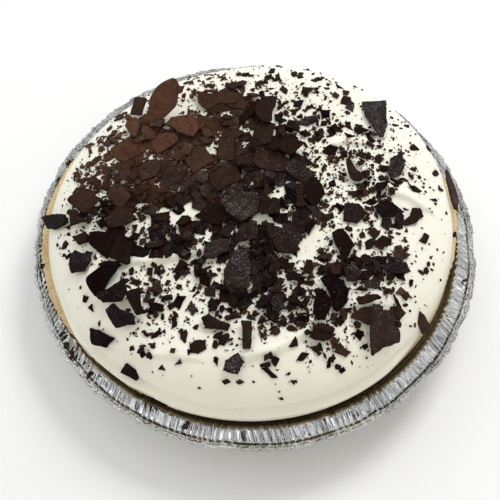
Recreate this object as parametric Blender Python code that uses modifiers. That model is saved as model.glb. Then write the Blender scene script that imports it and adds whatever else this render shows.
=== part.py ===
"""Chocolate cream pie in a crimped foil tin, uncut.

The tin stands on z = 0 with the middle of its base at the origin. +X is to the
right and +Y away from the side that is seen from the front. The pastry fills the
tin as one solid under the cream, the cream is a dome of whipped cream with the
small chocolate flakes fused to it, and each large chocolate shard is a plate of
its own that lies on the cream or on other shards.
"""
import math
import random

import bmesh
import bpy
import numpy as np
from mathutils import Matrix, Vector
from mathutils.bvhtree import BVHTree

MM = 0.001
SEED = 11

# Foil tin
TIN_RADIUS = 122.25 * MM
TIN_HEIGHT = 30.0 * MM
TIN_BASE_RADIUS = 96.8 * MM
BEND_RADIUS = 113.4 * MM
BEND_HEIGHT = 28.0 * MM
BEND_SHIFT = Vector((-1.4, 3.4, 0.0)) * MM
BEAD_RADIUS = 1.3 * MM
FOIL = 0.7 * MM
PLEATS = 72
PLEAT_DEPTH = 0.6 * MM

# Pastry
CRUST_TOP = 31.4 * MM
CRUST_LIP = 1.5 * MM
CRUST_SHOWS = 0.6 * MM
CRUST_SHOWS_MORE = ((185, 38, 3.8 * MM), (8, 20, 3.6 * MM), (90, 50, 2.0 * MM))
CRUST_STEPS = 66
CRUST_UNEVEN = 0.5 * MM

# Cream
CREAM_RADIUS = 110.1 * MM
CREAM_CENTRE = Vector((-1.4, 3.1, 0.0)) * MM
CREAM_TWO_LOBES = 1.8 * MM
CREAM_TWO_LOBES_AT = math.radians(32)
CREAM_THREE_LOBES = 0.8 * MM
CREAM_THREE_LOBES_AT = math.radians(50)
SHOULDER_HEIGHT = 22.0 * MM
SHOULDER_FULLER = 4.0 * MM
SHOULDER_FULLER_AT = math.radians(-15)
SHOULDER_SHARE = 0.25
CROWN = 5.0 * MM
CREAM_STEPS = 72
CROWN_RINGS = 11
SHOULDER_RINGS = 7

# Chocolate
GAP = 0.4 * MM
SHARD_THICK = 1.5 * MM
FLAKE_THICK = 1.6 * MM
FLAKE_RISE = 0.2 * MM
FLAKE_LIFT = (4.0, 15.0)
FLAKE_KINDS = ("quad", "five", "wedge")
CELL = 1.0 * MM
FIELD = 130
STEEPEST = 0.9

# Ridges that the spatula left: points along the crest, height and width
SWIRLS = (
    (((-4, -85), (12, -81), (25, -72), (31, -62)), 2.4, 6.0),
    (((-56, -35), (-42, -33), (-27, -29)), 2.0, 6.0),
    (((-81, -34), (-84, -44), (-77, -53), (-62, -56)), 2.4, 6.0),
    (((-84, -72), (-70, -83), (-55, -92), (-40, -98)), 2.2, 6.0),
    (((44, 38), (50, 41), (57, 39)), 1.6, 5.0),
    (((52, 28), (59, 17)), 2.0, 5.0),
    (((69, 7), (79, 4), (88, -2)), 1.8, 6.0),
)

# Heaps where more flakes lie: middle and reach
HEAPS = (
    (-62, 30, 36), (-28, 34, 44), (12, 34, 34), (-68, -12, 34), (-12, -8, 40), (4, -42, 34), (-44, -44, 26),
    (50, -40, 32), (62, 2, 26), (28, 66, 30),
)
HEAP_FLAKES = 150
HEAP_FLAKE_LENGTH = (6.0, 10.5)

# Outlines of the shards, as shares of their length and width
OUTLINES = {
    "quad": ((-0.5, -0.36), (0.42, -0.5), (0.5, 0.38), (-0.38, 0.5)),
    "slab": ((-0.5, -0.2), (-0.36, -0.5), (0.46, -0.46), (0.5, 0.3), (0.2, 0.5), (-0.44, 0.42)),
    "five": ((-0.5, 0.02), (-0.26, -0.48), (0.34, -0.5), (0.5, 0.1), (0.04, 0.5)),
    "six": ((-0.5, 0.0), (-0.28, -0.44), (0.22, -0.5), (0.5, -0.14), (0.34, 0.42), (-0.2, 0.5)),
    "leaf": ((-0.5, 0.04), (-0.2, -0.38), (0.24, -0.5), (0.5, -0.12), (0.36, 0.44), (-0.12, 0.5)),
    "wedge": ((-0.5, -0.06), (0.36, -0.5), (0.5, 0.2), (0.28, 0.5)),
    "oval": ((-0.5, -0.06), (-0.34, -0.4), (0.08, -0.5), (0.42, -0.32), (0.5, 0.1), (0.26, 0.46),
             (-0.2, 0.5)),
    "blade": ((-0.5, -0.16), (0.1, -0.5), (0.5, 0.1), (0.2, 0.5), (-0.36, 0.42)),
}

# Large shards that others partly hide: outline, middle (x, y), length, width, turn of the length from +X,
# and how far the far end of the length is lifted, in millimetres and degrees
SHARDS = {
    1: ("slab", -70, 36, 17, 15, 30, 0),
    3: ("leaf", -57, 21, 15, 12, 70, 4),
    6: ("quad", -30, 27, 15, 12, 40, 3),
    25: ("quad", -44, 14, 14, 12, 80, 6),
    26: ("slab", -16, 15, 16, 12, 20, 5),
    27: ("quad", -16, 32, 15, 10, 95, 8),
    28: ("slab", 8, 24, 20, 13, 170, 6),
    29: ("quad", 23, 17, 16, 11, 150, 9),
    30: ("quad", 18, 33, 14, 13, 60, 8),
    31: ("slab", 4, 44, 15, 11, 75, 7),
    39: ("five", 50, -8, 13, 12, 45, 8),
}

# Large shards whose outline shows: middle (x, y), direction in which they rise, how steeply,
# and the corners round the middle as seen from above, in millimetres and degrees
DRAWN_SHARDS = {
    2: (-69, 51, 85, 6, ((-4, 3), (-4, 0), (-1, -5), (1, -8), (3, -8), (4, 0), (3, 5), (-1, 7))),
    4: (-51, 40, 10, 6, ((-6, -4), (-2, -8), (5, -4), (9, 0), (7, 5), (-2, 5), (-7, 3))),
    5: (-39, 50, 170, 4, ((-11, 0), (-3, -6), (5, -9), (8, -3), (5, 8), (-8, 5))),
    7: (-52, 62, 85, 46, ((5, 9), (-2, 7), (-7, 2), (-8, -3), (-11, -7), (-8, -10), (-5, -8), (0, -8), (4, -6),
                          (8, -3), (9, 2), (10, 4), (8, 8))),
    8: (-66, 66, 75, 44, ((-3, 5), (0, 4), (4, 2), (3, -1), (1, -6), (-6, -3))),
    9: (-22, 70, 165, 5, ((-11, -3), (-9, -6), (-5, -9), (1, -4), (11, -3), (13, 2), (10, 5), (6, 10), (-3, 3),
                          (-12, 5))),
    10: (-90, 3, 12, 0, ((-1, -7), (4, -7), (6, -3), (5, 4), (-1, 7), (-10, 2))),
    11: (-72, 5, 30, 5, ((-2, -6), (3, -9), (7, -2), (4, 3), (-3, 8), (-7, 1))),
    12: (-107, -6, 15, 0, ((-4, -2), (1, -5), (10, -5), (7, 1), (-10, 8))),
    13: (-93, -10, 50, 4, ((-2, -4), (2, -3), (8, -2), (3, 0), (0, 5), (-4, 4))),
    14: (-70, -11, 20, 5, ((-8, -1), (-3, -5), (7, -2), (9, 1), (0, 7), (-5, 4))),
    15: (-88, -20, 170, 3, ((-2, -4), (2, -3), (4, 0), (1, 3), (-6, 1))),
    16: (-76, -24, 150, 5, ((-7, -2), (-1, -7), (2, -9), (7, 0), (10, 5), (-6, 6), (-10, 2))),
    17: (-88, -34, 60, 0, ((-6, 0), (-4, -5), (3, -6), (6, -1), (6, 3), (1, 4), (-3, 7), (-6, 4))),
    18: (-76, -45, 60, 12, ((-6, -3), (-2, -8), (1, -8), (5, -1), (9, 5), (3, 7), (-3, 4), (-7, 1))),
    19: (-68, -54, 15, 5, ((-5, -4), (4, -4), (7, 0), (5, 7), (-2, 3), (-10, 0))),
    20: (-57, -58, 100, 4, ((-3, -1), (1, -7), (5, -6), (3, -2), (2, 6), (-5, 3))),
    21: (-64, -66, 170, 0, ((-5, 0), (-2, -4), (8, -4), (7, 0), (0, 3), (-3, 6), (-7, 4))),
    22: (-75, -73, 150, 0, ((-5, 2), (-4, -1), (4, -4), (8, -1), (0, 4), (-5, 6))),
    23: (-21, -8, 30, 5, ((-10, -1), (-5, -4), (3, -7), (10, -2), (2, 11), (-4, 5))),
    24: (-7, -4, 150, 5, ((-7, 4), (-11, 1), (-6, -6), (0, -10), (3, -8), (10, -3), (9, 4), (8, 8), (-5, 8))),
    32: (-4, 58, 60, 14, ((-2, 2), (-7, -5), (-5, -8), (-3, -6), (4, 1), (7, 8), (5, 9))),
    33: (5, 59, 75, 8, ((-4, 4), (-6, -2), (-4, -7), (-1, -10), (2, -10), (4, -8), (4, -2), (6, 3), (7, 9),
                        (-1, 8))),
    34: (30, 4, 110, 10, ((-4, -2), (-2, -6), (1, -8), (4, -4), (6, 0), (4, 5), (0, 8), (-5, 3))),
    35: (68, 59, 110, 0, ((-7, -1), (-4, -8), (-1, -14), (0, -17), (2, -17), (5, -7), (5, -1), (6, 12), (-8, 9))),
    36: (52, 17, 140, 16, ((-2, -3), (2, -5), (5, -3), (1, 2), (-2, 7), (-4, 6))),
    37: (75, 23, 70, 5, ((1, 6), (-3, 4), (-3, 0), (-5, -4), (-3, -8), (2, -6), (5, 0), (4, 5), (4, 11))),
    38: (68, -5, 165, 6, ((-3, -5), (3, -4), (9, -1), (4, 3), (-1, 6), (-7, 1))),
    40: (7, -5, 45, 8, ((-4, -5), (6, -4), (6, 0), (-1, 5), (-5, 5))),
    41: (-4, -20, 15, 9, ((-5, -1), (-6, -6), (5, -4), (6, 0), (5, 5), (1, 5), (-3, 3))),
    42: (14, -24, 155, 10, ((-8, 4), (-5, -1), (-2, -7), (5, -7), (9, -5), (4, 3), (-2, 7), (-8, 8))),
    43: (-8, -41, 80, 7, ((-7, 0), (-7, -7), (0, -10), (6, -8), (6, 4), (4, 11), (-1, 11), (-4, 7))),
    44: (-19, -30, 20, 9, ((-6, -4), (-1, -5), (6, -1), (6, 5), (-2, 5), (-6, 2))),
    45: (44, -25, 80, 5, ((-4, -1), (-1, -7), (3, -7), (6, -2), (2, 5), (-1, 7), (-5, 5))),
    46: (39, -51, 115, 8, ((-3, -1), (-2, -4), (-1, -10), (1, -11), (3, -10), (6, -6), (7, 0), (5, 3), (-2, 10),
                           (-7, 5))),
    47: (73, -31, 60, 5, ((-4, -2), (0, -4), (5, 0), (2, 1), (0, 5), (-3, 4))),
    48: (54, -63, 20, 3, ((-7, -2), (-4, -3), (0, -5), (4, -5), (8, 1), (8, 4), (2, 4), (-2, 3), (-7, 0))),
    49: (-18, -69, 160, 5, ((-5, -2), (6, -3), (7, 0), (-4, 5), (-7, 3))),
    50: (-9, -89, 60, 0, ((-2, -3), (2, -4), (5, 1), (2, 5), (-4, 2), (-5, -2))),
    51: (-67, -29, 60, 4, ((-6, -4), (3, -8), (5, -7), (5, 1), (2, 7), (-2, 8))),
    52: (32, -60, 80, 5, ((-3, 3), (-4, -4), (-2, -7), (2, -7), (4, -3), (6, 1), (4, 4), (1, 8), (-2, 7))),
    53: (55, -56, 10, 4, ((-5, -3), (-3, -3), (1, -2), (6, 0), (4, 2), (-1, 2), (-6, 0))),
    54: (61, -70, 85, 0, ((-6, 0), (-6, -5), (-5, -12), (0, -8), (5, -6), (9, -4), (9, 0), (7, 3), (5, 8), (0, 7),
                          (-2, 9), (-5, 8))),
    55: (32, -74, 170, 3, ((-5, 0), (-6, -2), (0, -3), (4, -2), (7, 1), (2, 2), (-3, 3))),
    56: (-3, -75, 90, 3, ((-2, -7), (2, -7), (2, 7), (-3, 7))),
    57: (109, 19, 90, 0, ((1, -13), (3, -5), (2, 4), (0, 10), (-2, 14), (-3, 6), (-2, -7), (-1, -13))),
}
SHARD_COUNT = 57

# Flakes fused to the cream: middle, length, width and turn
FLAKES = (
    (-82, 42, 8, 6, 20), (-88, 30, 8, 5, 60), (-80, 22, 9, 6, 150), (-94, 17, 7, 5, 10), (-70, 18, 8, 6, 40),
    (-83, 12, 7, 5, 120), (-55, 52, 11, 8, 30), (-32, 73, 9, 6, 100), (-42, 66, 8, 5, 60), (-12, 80, 10, 7, 20),
    (-26, 82, 7, 5, 150), (-48, 78, 6, 5, 40), (-12, 50, 9, 6, 80), (-26, 44, 9, 7, 130), (-42, 30, 10, 7, 20),
    (-84, -5, 6, 5, 30), (-54, -4, 9, 8, 70), (-36, -12, 10, 8, 20), (-44, 0, 8, 6, 100), (-50, -26, 11, 6, 10),
    (-38, -24, 11, 8, 160), (-36, -38, 13, 8, 25), (-98, -22, 6, 4, 60), (-84, -52, 5, 4, 30), (-80, -57, 6, 4, 110),
    (-47, -49, 8, 7, 60), (-52, -54, 7, 5, 90), (-47, -60, 10, 6, 165), (-36, -57, 9, 8, 40), (-30, -60, 8, 6, 95),
    (-38, -67, 9, 5, 80), (-33, -74, 8, 4, 90), (-46, -73, 7, 4, 20), (-52, -82, 5, 4, 60), (-61, -87, 9, 7, 20),
    (-43, -88, 5, 4, 10), (-35, -86, 5, 4, 80), (-26, -80, 9, 7, 30), (-4, -73, 14, 7, 88), (-14, -76, 7, 5, 60),
    (-21, -51, 9, 7, 80), (-10, -57, 9, 6, 100), (5, -58, 12, 5, 45), (12, -59, 7, 6, 20), (19, -57, 7, 5, 150),
    (-8, -64, 7, 6, 40), (23, -67, 10, 6, 20), (8, -65, 6, 5, 110), (19, -78, 7, 6, 30), (25, -82, 7, 5, 70),
    (10, -90, 6, 4, 120), (8, -84, 6, 4, 160), (33, -71, 13, 6, 170), (31, -79, 6, 5, 60), (41, -78, 6, 5, 20),
    (43, -87, 5, 4, 100), (44, -65, 6, 5, 40), (35, -57, 9, 7, 75), (46, -59, 13, 8, 105), (53, -61, 15, 7, 170),
    (58, -47, 10, 8, 30), (73, -60, 9, 7, 20), (86, -65, 11, 8, 125), (75, -50, 10, 7, 15), (70, -53, 8, 4, 0),
    (67, -43, 6, 5, 60), (55, -35, 7, 6, 100), (63, -34, 9, 8, 30), (73, -38, 9, 7, 150), (64, -25, 9, 6, 20),
    (44, -34, 8, 6, 60), (35, -33, 9, 6, 10), (27, -38, 9, 6, 100), (20, -44, 9, 7, 40), (8, -47, 9, 7, 120),
    (28, -17, 8, 6, 70), (36, -10, 9, 6, 15), (44, -4, 7, 6, 120), (60, -19, 8, 6, 60), (67, -13, 9, 6, 85),
    (74, -11, 10, 6, 95), (83, -6, 9, 8, 30), (54, 5, 9, 8, 150), (66, 9, 10, 6, 20), (41, 12, 7, 5, 50),
    (84, 8, 7, 5, 170), (98, 24, 7, 4, 40), (87, 38, 7, 5, 0), (97, 44, 6, 4, 70), (66, 28, 6, 5, 110),
    (58, 30, 8, 5, 160), (41, 34, 10, 7, 25), (35, 44, 10, 6, 70), (44, 48, 7, 5, 100), (29, 54, 13, 6, 20),
    (39, 60, 8, 6, 85), (51, 69, 8, 7, 60), (58, 47, 9, 5, 10), (63, 41, 6, 4, 130), (24, 68, 7, 6, 40),
    (29, 78, 9, 6, 15), (16, 79, 8, 6, 80), (12, 88, 11, 5, 95), (2, 84, 8, 5, 30), (-6, 92, 6, 4, 0),
    (22, 92, 6, 4, 60), (36, 88, 6, 4, 20), (48, 82, 6, 4, 120), (62, 44, 5, 4, 60), (-60, 8, 9, 7, 30),
    (-30, 2, 9, 7, 130), (-58, -46, 7, 5, 30), (-52, -40, 6, 4, 100), (86, -20, 7, 5, 70), (94, 4, 6, 4, 20),
)


def material(name, colour, roughness, metallic=0.0):
    """A plain Principled material."""
    result = bpy.data.materials.new(name)
    result.use_nodes = True
    shader = result.node_tree.nodes["Principled BSDF"]
    shader.inputs["Base Color"].default_value = (*colour, 1.0)
    shader.inputs["Roughness"].default_value = roughness
    shader.inputs["Metallic"].default_value = metallic
    return result


def add_object(name, mesh, collection, look):
    """Put a mesh into the collection as a named object with its material."""
    mesh.materials.clear()
    mesh.materials.append(look)
    result = bpy.data.objects.new(name, mesh)
    collection.objects.link(result)
    return result


def bake_modifiers(thing):
    """Turn an object's modifiers into its mesh."""
    bpy.context.view_layer.update()
    graph = bpy.context.evaluated_depsgraph_get()
    mesh = bpy.data.meshes.new_from_object(thing.evaluated_get(graph))
    thing.modifiers.clear()
    thing.data = mesh


def turned(name, profile, steps, collection, look):
    """Turn an outline of (radius, height) points about Z with a Screw modifier."""
    mesh = bpy.data.meshes.new(name)
    points = [(radius, 0.0, height) for radius, height in profile]
    mesh.from_pydata(points, [(i, i + 1) for i in range(len(points) - 1)], [])
    result = add_object(name, mesh, collection, look)
    screw = result.modifiers.new("Turn", "SCREW")
    screw.axis = "Z"
    screw.angle = math.tau
    screw.steps = steps
    screw.render_steps = steps
    screw.use_merge_vertices = True
    screw.merge_threshold = 0.00001
    screw.use_normal_calculate = True
    bake_modifiers(result)
    return result


def blend(low, high, value):
    """Smooth step from 0 at low to 1 at high."""
    share = min(1.0, max(0.0, (value - low) / (high - low)))
    return share * share * (3.0 - 2.0 * share)


def tin_profile():
    """Outer skin of the tin, from the middle of its base to the end of the rolled rim."""
    corner = 2.6 * MM
    slope_foot = TIN_BASE_RADIUS + 0.9 * MM
    points = [(0.0, 0.0), (TIN_BASE_RADIUS - corner, 0.0), (slope_foot, 1.2 * MM)]
    points.append((BEND_RADIUS - 0.7 * MM, BEND_HEIGHT - 1.6 * MM))
    points.append((BEND_RADIUS + 0.5 * MM, BEND_HEIGHT))
    centre = (TIN_RADIUS - BEAD_RADIUS, TIN_HEIGHT - BEAD_RADIUS)
    roll = BEAD_RADIUS - FOIL
    for degrees in (135, 60, -20, -90):
        turn = math.radians(degrees)
        points.append((centre[0] + roll * math.cos(turn), centre[1] + roll * math.sin(turn)))
    return points


def shape_tin(tin):
    """Pleat the wall and the flange, and set the bend off centre as in a hand-pressed tin."""
    steps = 2 * PLEATS
    for vertex in tin.data.vertices:
        radius = math.hypot(vertex.co.x, vertex.co.y)
        if radius < 1e-6:
            continue
        angle = math.atan2(vertex.co.y, vertex.co.x)
        fold = 1.0 if round(angle / math.tau * steps) % 2 == 0 else -1.0
        rise = blend(1.5 * MM, BEND_HEIGHT, vertex.co.z)
        out = 1.0 - blend(BEND_RADIUS + 2.0 * MM, TIN_RADIUS - 3.0 * MM, radius)
        on_flange = radius > BEND_RADIUS
        if on_flange:
            vertex.co.z += 0.5 * PLEAT_DEPTH * fold * out
        else:
            push = PLEAT_DEPTH * fold * rise
            vertex.co.x += push * math.cos(angle)
            vertex.co.y += push * math.sin(angle)
        shift = rise * out if on_flange else rise
        vertex.co += BEND_SHIFT * shift


def make_tin(collection, look):
    """The foil tin: a thin pleated shell with a flange and a rolled rim."""
    tin = turned("foil_tin", tin_profile(), 2 * PLEATS, collection, look)
    shape_tin(tin)
    skin = tin.modifiers.new("Foil", "SOLIDIFY")
    skin.thickness = FOIL
    skin.offset = 1.0
    skin.use_even_offset = False
    return tin


def crust_profile():
    """The pastry's outline: flat top, lip over the flange, wall inside the tin, base."""
    inset = FOIL + PLEAT_DEPTH + 2.0 * GAP
    wall_top = BEND_RADIUS - inset - 1.6 * MM
    lip = 2.0 * BEND_RADIUS
    points = [(0.0, CRUST_TOP), (0.5 * BEND_RADIUS, CRUST_TOP), (wall_top - 3.0 * MM, CRUST_TOP)]
    points.append((lip - 1.0 * MM, CRUST_TOP))
    points.append((lip, CRUST_TOP - 0.6 * MM))
    points.append((lip - 0.4 * MM, CRUST_TOP - CRUST_LIP))
    points.append((wall_top, CRUST_TOP - CRUST_LIP))
    points.append((wall_top - 0.8 * MM, BEND_HEIGHT - 2.0 * MM))
    points.append((TIN_BASE_RADIUS - 1.2 * MM, 4.0 * MM))
    points.append((TIN_BASE_RADIUS - 4.5 * MM, FOIL + GAP))
    points.append((0.0, FOIL + GAP))
    return points


def crust_edge(angle):
    """Radius of the pastry's ragged lip about the cream's middle: it shows most left, right and behind."""
    shows = CRUST_SHOWS
    for middle, spread_angle, more in CRUST_SHOWS_MORE:
        away = (np.degrees(angle) - middle + 180.0) % 360.0 - 180.0
        shows = shows + more * np.exp(-(away / spread_angle) ** 2)
    ragged = np.sin(9 * angle + 1.0) + 0.8 * np.sin(23 * angle) + 0.6 * np.sin(37 * angle + 2.0)
    return cream_edge(angle) + shows + 0.5 * CRUST_UNEVEN * ragged


def shape_crust(crust):
    """Set the pastry's wall off centre as the tin's is, and its lip round the cream's edge."""
    lip = 2.0 * BEND_RADIUS
    for vertex in crust.data.vertices:
        radius = math.hypot(vertex.co.x, vertex.co.y)
        angle = math.atan2(vertex.co.y, vertex.co.x)
        if radius > 1.5 * BEND_RADIUS:
            radius += float(crust_edge(angle)) - lip
            vertex.co.x = CREAM_CENTRE.x + radius * math.cos(angle)
            vertex.co.y = CREAM_CENTRE.y + radius * math.sin(angle)
        else:
            vertex.co += BEND_SHIFT * blend(1.5 * MM, BEND_HEIGHT, vertex.co.z)


def make_crust(collection, look):
    """The pastry, one solid up to the cream."""
    crust = turned("crust", crust_profile(), CRUST_STEPS, collection, look)
    shape_crust(crust)
    return crust


def cream_edge(angle):
    """Radius of the cream's edge about its own middle."""
    two = CREAM_TWO_LOBES * np.cos(2.0 * (angle - CREAM_TWO_LOBES_AT))
    three = CREAM_THREE_LOBES * np.cos(3.0 * (angle - CREAM_THREE_LOBES_AT))
    return CREAM_RADIUS + two + three


def swirl_relief(x, y):
    """Height that the spatula's ridges add at points given in metres."""
    total = np.zeros_like(x)
    for points, height, width in SWIRLS:
        crest = np.full_like(x, 1e9)
        for (x0, y0), (x1, y1) in zip(points, points[1:]):
            along = np.array((x1 - x0, y1 - y0), dtype=float)
            share = ((x / MM - x0) * along[0] + (y / MM - y0) * along[1]) / along.dot(along)
            share = np.clip(share, 0.0, 1.0)
            away = np.hypot(x / MM - x0 - share * along[0], y / MM - y0 - share * along[1])
            crest = np.minimum(crest, away)
        total = total + height * MM * np.exp(-(crest / width) ** 2)
    return total


def cream_height(x, y):
    """Height of the cream's surface at points given in metres, 0 outside its edge."""
    x = np.asarray(x, dtype=float)
    y = np.asarray(y, dtype=float)
    across, along = x - CREAM_CENTRE.x, y - CREAM_CENTRE.y
    share = np.hypot(across, along) / cream_edge(np.arctan2(along, across))
    edge = np.clip((share - 1.0 + SHOULDER_SHARE) / SHOULDER_SHARE, 0.0, 1.0)
    dome = np.sqrt(1.0 - edge ** 2)
    fuller = SHOULDER_FULLER * np.cos(np.arctan2(along, across) - SHOULDER_FULLER_AT) * np.clip(share, 0.0, 1.0)
    crown = CROWN * (1.0 - np.clip(share, 0.0, 1.0) ** 2)
    smooth = CRUST_TOP + GAP + (SHOULDER_HEIGHT + fuller) * dome + crown
    wave = 0.5 * MM * (np.sin(x / (11 * MM) + 0.8) * np.sin(y / (14 * MM)) + np.sin((x + y) / (19 * MM)))
    return np.where(share <= 1.0, smooth + (swirl_relief(x, y) + wave) * dome, 0.0)


def cream_profile():
    """Shares of the cream's radius, top to edge, then the foot and the flat underside."""
    crown_end = 1.0 - SHOULDER_SHARE
    shares = [crown_end * ring / CROWN_RINGS for ring in range(CROWN_RINGS + 1)]
    for ring in range(1, SHOULDER_RINGS + 1):
        shares.append(crown_end + SHOULDER_SHARE * math.sin(0.5 * math.pi * ring / SHOULDER_RINGS))
    points = [(share, 1.0) for share in shares]
    points.append((0.985, 0.0))
    points.append((0.5, 0.0))
    points.append((0.0, 0.0))
    return points


def make_cream(collection, look):
    """The dome of cream: a turned disc whose points move to the cream's edge and height."""
    cream = turned("cream", cream_profile(), CREAM_STEPS, collection, look)
    foot = CRUST_TOP + GAP
    for vertex in cream.data.vertices:
        share = min(1.0, math.hypot(vertex.co.x, vertex.co.y))
        angle = math.atan2(vertex.co.y, vertex.co.x)
        radius = share * float(cream_edge(angle))
        on_top = vertex.co.z > 0.5
        vertex.co.x = CREAM_CENTRE.x + radius * math.cos(angle)
        vertex.co.y = CREAM_CENTRE.y + radius * math.sin(angle)
        inside = 0.9999 * radius
        height = float(cream_height(CREAM_CENTRE.x + inside * math.cos(angle),
                                    CREAM_CENTRE.y + inside * math.sin(angle)))
        vertex.co.z = max(height, foot + 1.2 * MM) if on_top else foot
    return cream


class Ground:
    """Heights of what lies under the next plate, on a square grid."""

    def __init__(self):
        side = np.arange(-FIELD, FIELD + 1) * CELL
        self.x, self.y = np.meshgrid(side, side, indexing="ij")
        across, along = self.x - CREAM_CENTRE.x, self.y - CREAM_CENTRE.y
        on_crust = np.hypot(across, along) <= crust_edge(np.arctan2(along, across))
        self.height = np.maximum(cream_height(self.x, self.y), np.where(on_crust, CRUST_TOP, 0.0))
        self.taken = np.zeros(self.x.shape, dtype=bool)

    def window(self, corners):
        """Grid indices of the box round some corners."""
        low = [int(math.floor(min(c[i] for c in corners) / CELL)) - 1 + FIELD for i in (0, 1)]
        high = [int(math.ceil(max(c[i] for c in corners) / CELL)) + 2 + FIELD for i in (0, 1)]
        return slice(low[0], high[0]), slice(low[1], high[1])

    def shadow(self, corners, mesh, matrix):
        """Window under a plate, with the plate's lowest and highest point over each cell."""
        tree_mesh = mesh.copy()
        tree_mesh.transform(matrix)
        tree = BVHTree.FromBMesh(tree_mesh)
        tree_mesh.free()
        area = self.window(corners)
        low = np.full(self.x[area].shape, np.inf)
        high = np.full(self.x[area].shape, -np.inf)
        for index in np.ndindex(low.shape):
            x, y = self.x[area][index], self.y[area][index]
            up = tree.ray_cast(Vector((x, y, -1.0)), Vector((0, 0, 1)))[0]
            if up is None:
                continue
            down = tree.ray_cast(Vector((x, y, 1.0)), Vector((0, 0, -1)))[0]
            low[index] = up.z
            high[index] = down.z
        return area, spread(low, np.minimum), spread(high, np.maximum)

    def slope(self, corners):
        """Normal of the plane that fits the ground under some corners, at most as steep as a plate stays put."""
        area = self.window(corners)
        x, y, z = (grid[area].ravel() for grid in (self.x, self.y, self.height))
        keep = z > CRUST_TOP
        table = np.column_stack((x[keep], y[keep], np.ones(keep.sum())))
        fit = np.linalg.lstsq(table, z[keep], rcond=None)[0][:2]
        fit *= min(1.0, STEEPEST / max(math.hypot(*fit), 1e-6))
        return Vector((-fit[0], -fit[1], 1.0)).normalized()


def spread(grid, pick):
    """Let each cell take the lowest or highest value of the cells around it."""
    result = grid.copy()
    for along in (-1, 0, 1):
        for across in (-1, 0, 1):
            moved = np.roll(grid, (along, across), axis=(0, 1))
            result = pick(result, moved)
    return result


def outline_corners(kind, length, width, rng, slack):
    """Corners of one of the outlines at its size, a little uneven."""
    corners = []
    for share_x, share_y in OUTLINES[kind]:
        jump = Vector((rng.uniform(-slack, slack), rng.uniform(-slack, slack)))
        corners.append(Vector(((share_x + jump.x) * length, (share_y + jump.y) * width)))
    return corners


def plate_mesh(corners, thick):
    """A flat plate, as a prism whose corners move to their places."""
    mesh = bmesh.new()
    count = len(corners)
    bmesh.ops.create_cone(mesh, cap_ends=True, segments=count, radius1=1.0, radius2=1.0, depth=thick)
    first = min(math.atan2(v.co.y, v.co.x) % math.tau for v in mesh.verts)
    for vertex in mesh.verts:
        turn = math.atan2(vertex.co.y, vertex.co.x) % math.tau - first
        corner = corners[round(turn / math.tau * count) % count]
        vertex.co.x = corner.x
        vertex.co.y = corner.y
    mesh.normal_update()
    bmesh.ops.recalc_face_normals(mesh, faces=mesh.faces)
    return mesh


def plate_corners(mesh, matrix):
    """The plate's corners in place."""
    return [matrix @ vertex.co for vertex in mesh.verts]


def plate_matrix(x, y, turn, lift, normal):
    """Turn a plate about Z, lift the far end of its length, and lay it along a slope."""
    lean = Vector((0, 0, 1)).rotation_difference(normal).to_matrix().to_4x4()
    flat = Matrix.Rotation(turn, 4, "Z") @ Matrix.Rotation(-lift, 4, "Y")
    return Matrix.Translation((x, y, 0.0)) @ lean @ flat


def seen_from_above(corners, matrix):
    """Corners in a plate's own plane that lie at the given places once the matrix tilts the plate."""
    tilt = matrix.to_3x3()
    back = Matrix(((tilt[0][0], tilt[0][1]), (tilt[1][0], tilt[1][1]))).inverted()
    return [back @ corner for corner in corners]


def shard_place(number, ground, rng):
    """A shard's corners in its own plane, and the matrix that lays it along the ground's slope."""
    drawn = number in DRAWN_SHARDS
    if drawn:
        x, y, turn, lift, rows = DRAWN_SHARDS[number]
        corners = [Vector(row) * MM for row in rows]
        flat = Matrix.Translation((x * MM, y * MM, 0.0))
    else:
        kind, x, y, length, width, turn, lift = SHARDS[number]
        corners = outline_corners(kind, length * MM, width * MM, rng, 0.06)
        flat = plate_matrix(x * MM, y * MM, math.radians(turn), 0.0, Vector((0, 0, 1)))
    normal = ground.slope([flat @ corner.to_3d() for corner in corners])
    matrix = plate_matrix(x * MM, y * MM, math.radians(turn), math.radians(lift), normal)
    if drawn:
        corners = seen_from_above(corners, matrix)
    return corners, matrix


def make_shards(ground, collection, look):
    """Drop each large shard onto what is already there."""
    rng = random.Random(SEED)
    for number in range(1, SHARD_COUNT + 1):
        corners, matrix = shard_place(number, ground, rng)
        mesh = plate_mesh(corners, SHARD_THICK)
        area, low, high = ground.shadow(plate_corners(mesh, matrix), mesh, matrix)
        rise = float(np.max(ground.height[area] - low)) + GAP
        ground.height[area] = np.maximum(ground.height[area], high + rise)
        ground.taken[area] |= np.isfinite(low)
        data = bpy.data.meshes.new(f"shard_{number:02d}")
        mesh.to_mesh(data)
        mesh.free()
        shard = add_object(f"shard_{number:02d}", data, collection, look)
        shard.matrix_world = Matrix.Translation((0.0, 0.0, rise)) @ matrix


def heap_flakes(rng):
    """Endless draws of one more flake somewhere in the heaps."""
    while True:
        x, y, reach = rng.choice(HEAPS)
        turn = rng.uniform(0.0, math.tau)
        away = reach * math.sqrt(rng.random())
        length = rng.uniform(*HEAP_FLAKE_LENGTH)
        width = length * rng.uniform(0.55, 0.9)
        yield x + away * math.cos(turn), y + away * math.sin(turn), length, width, rng.uniform(0.0, 180.0)


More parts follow.
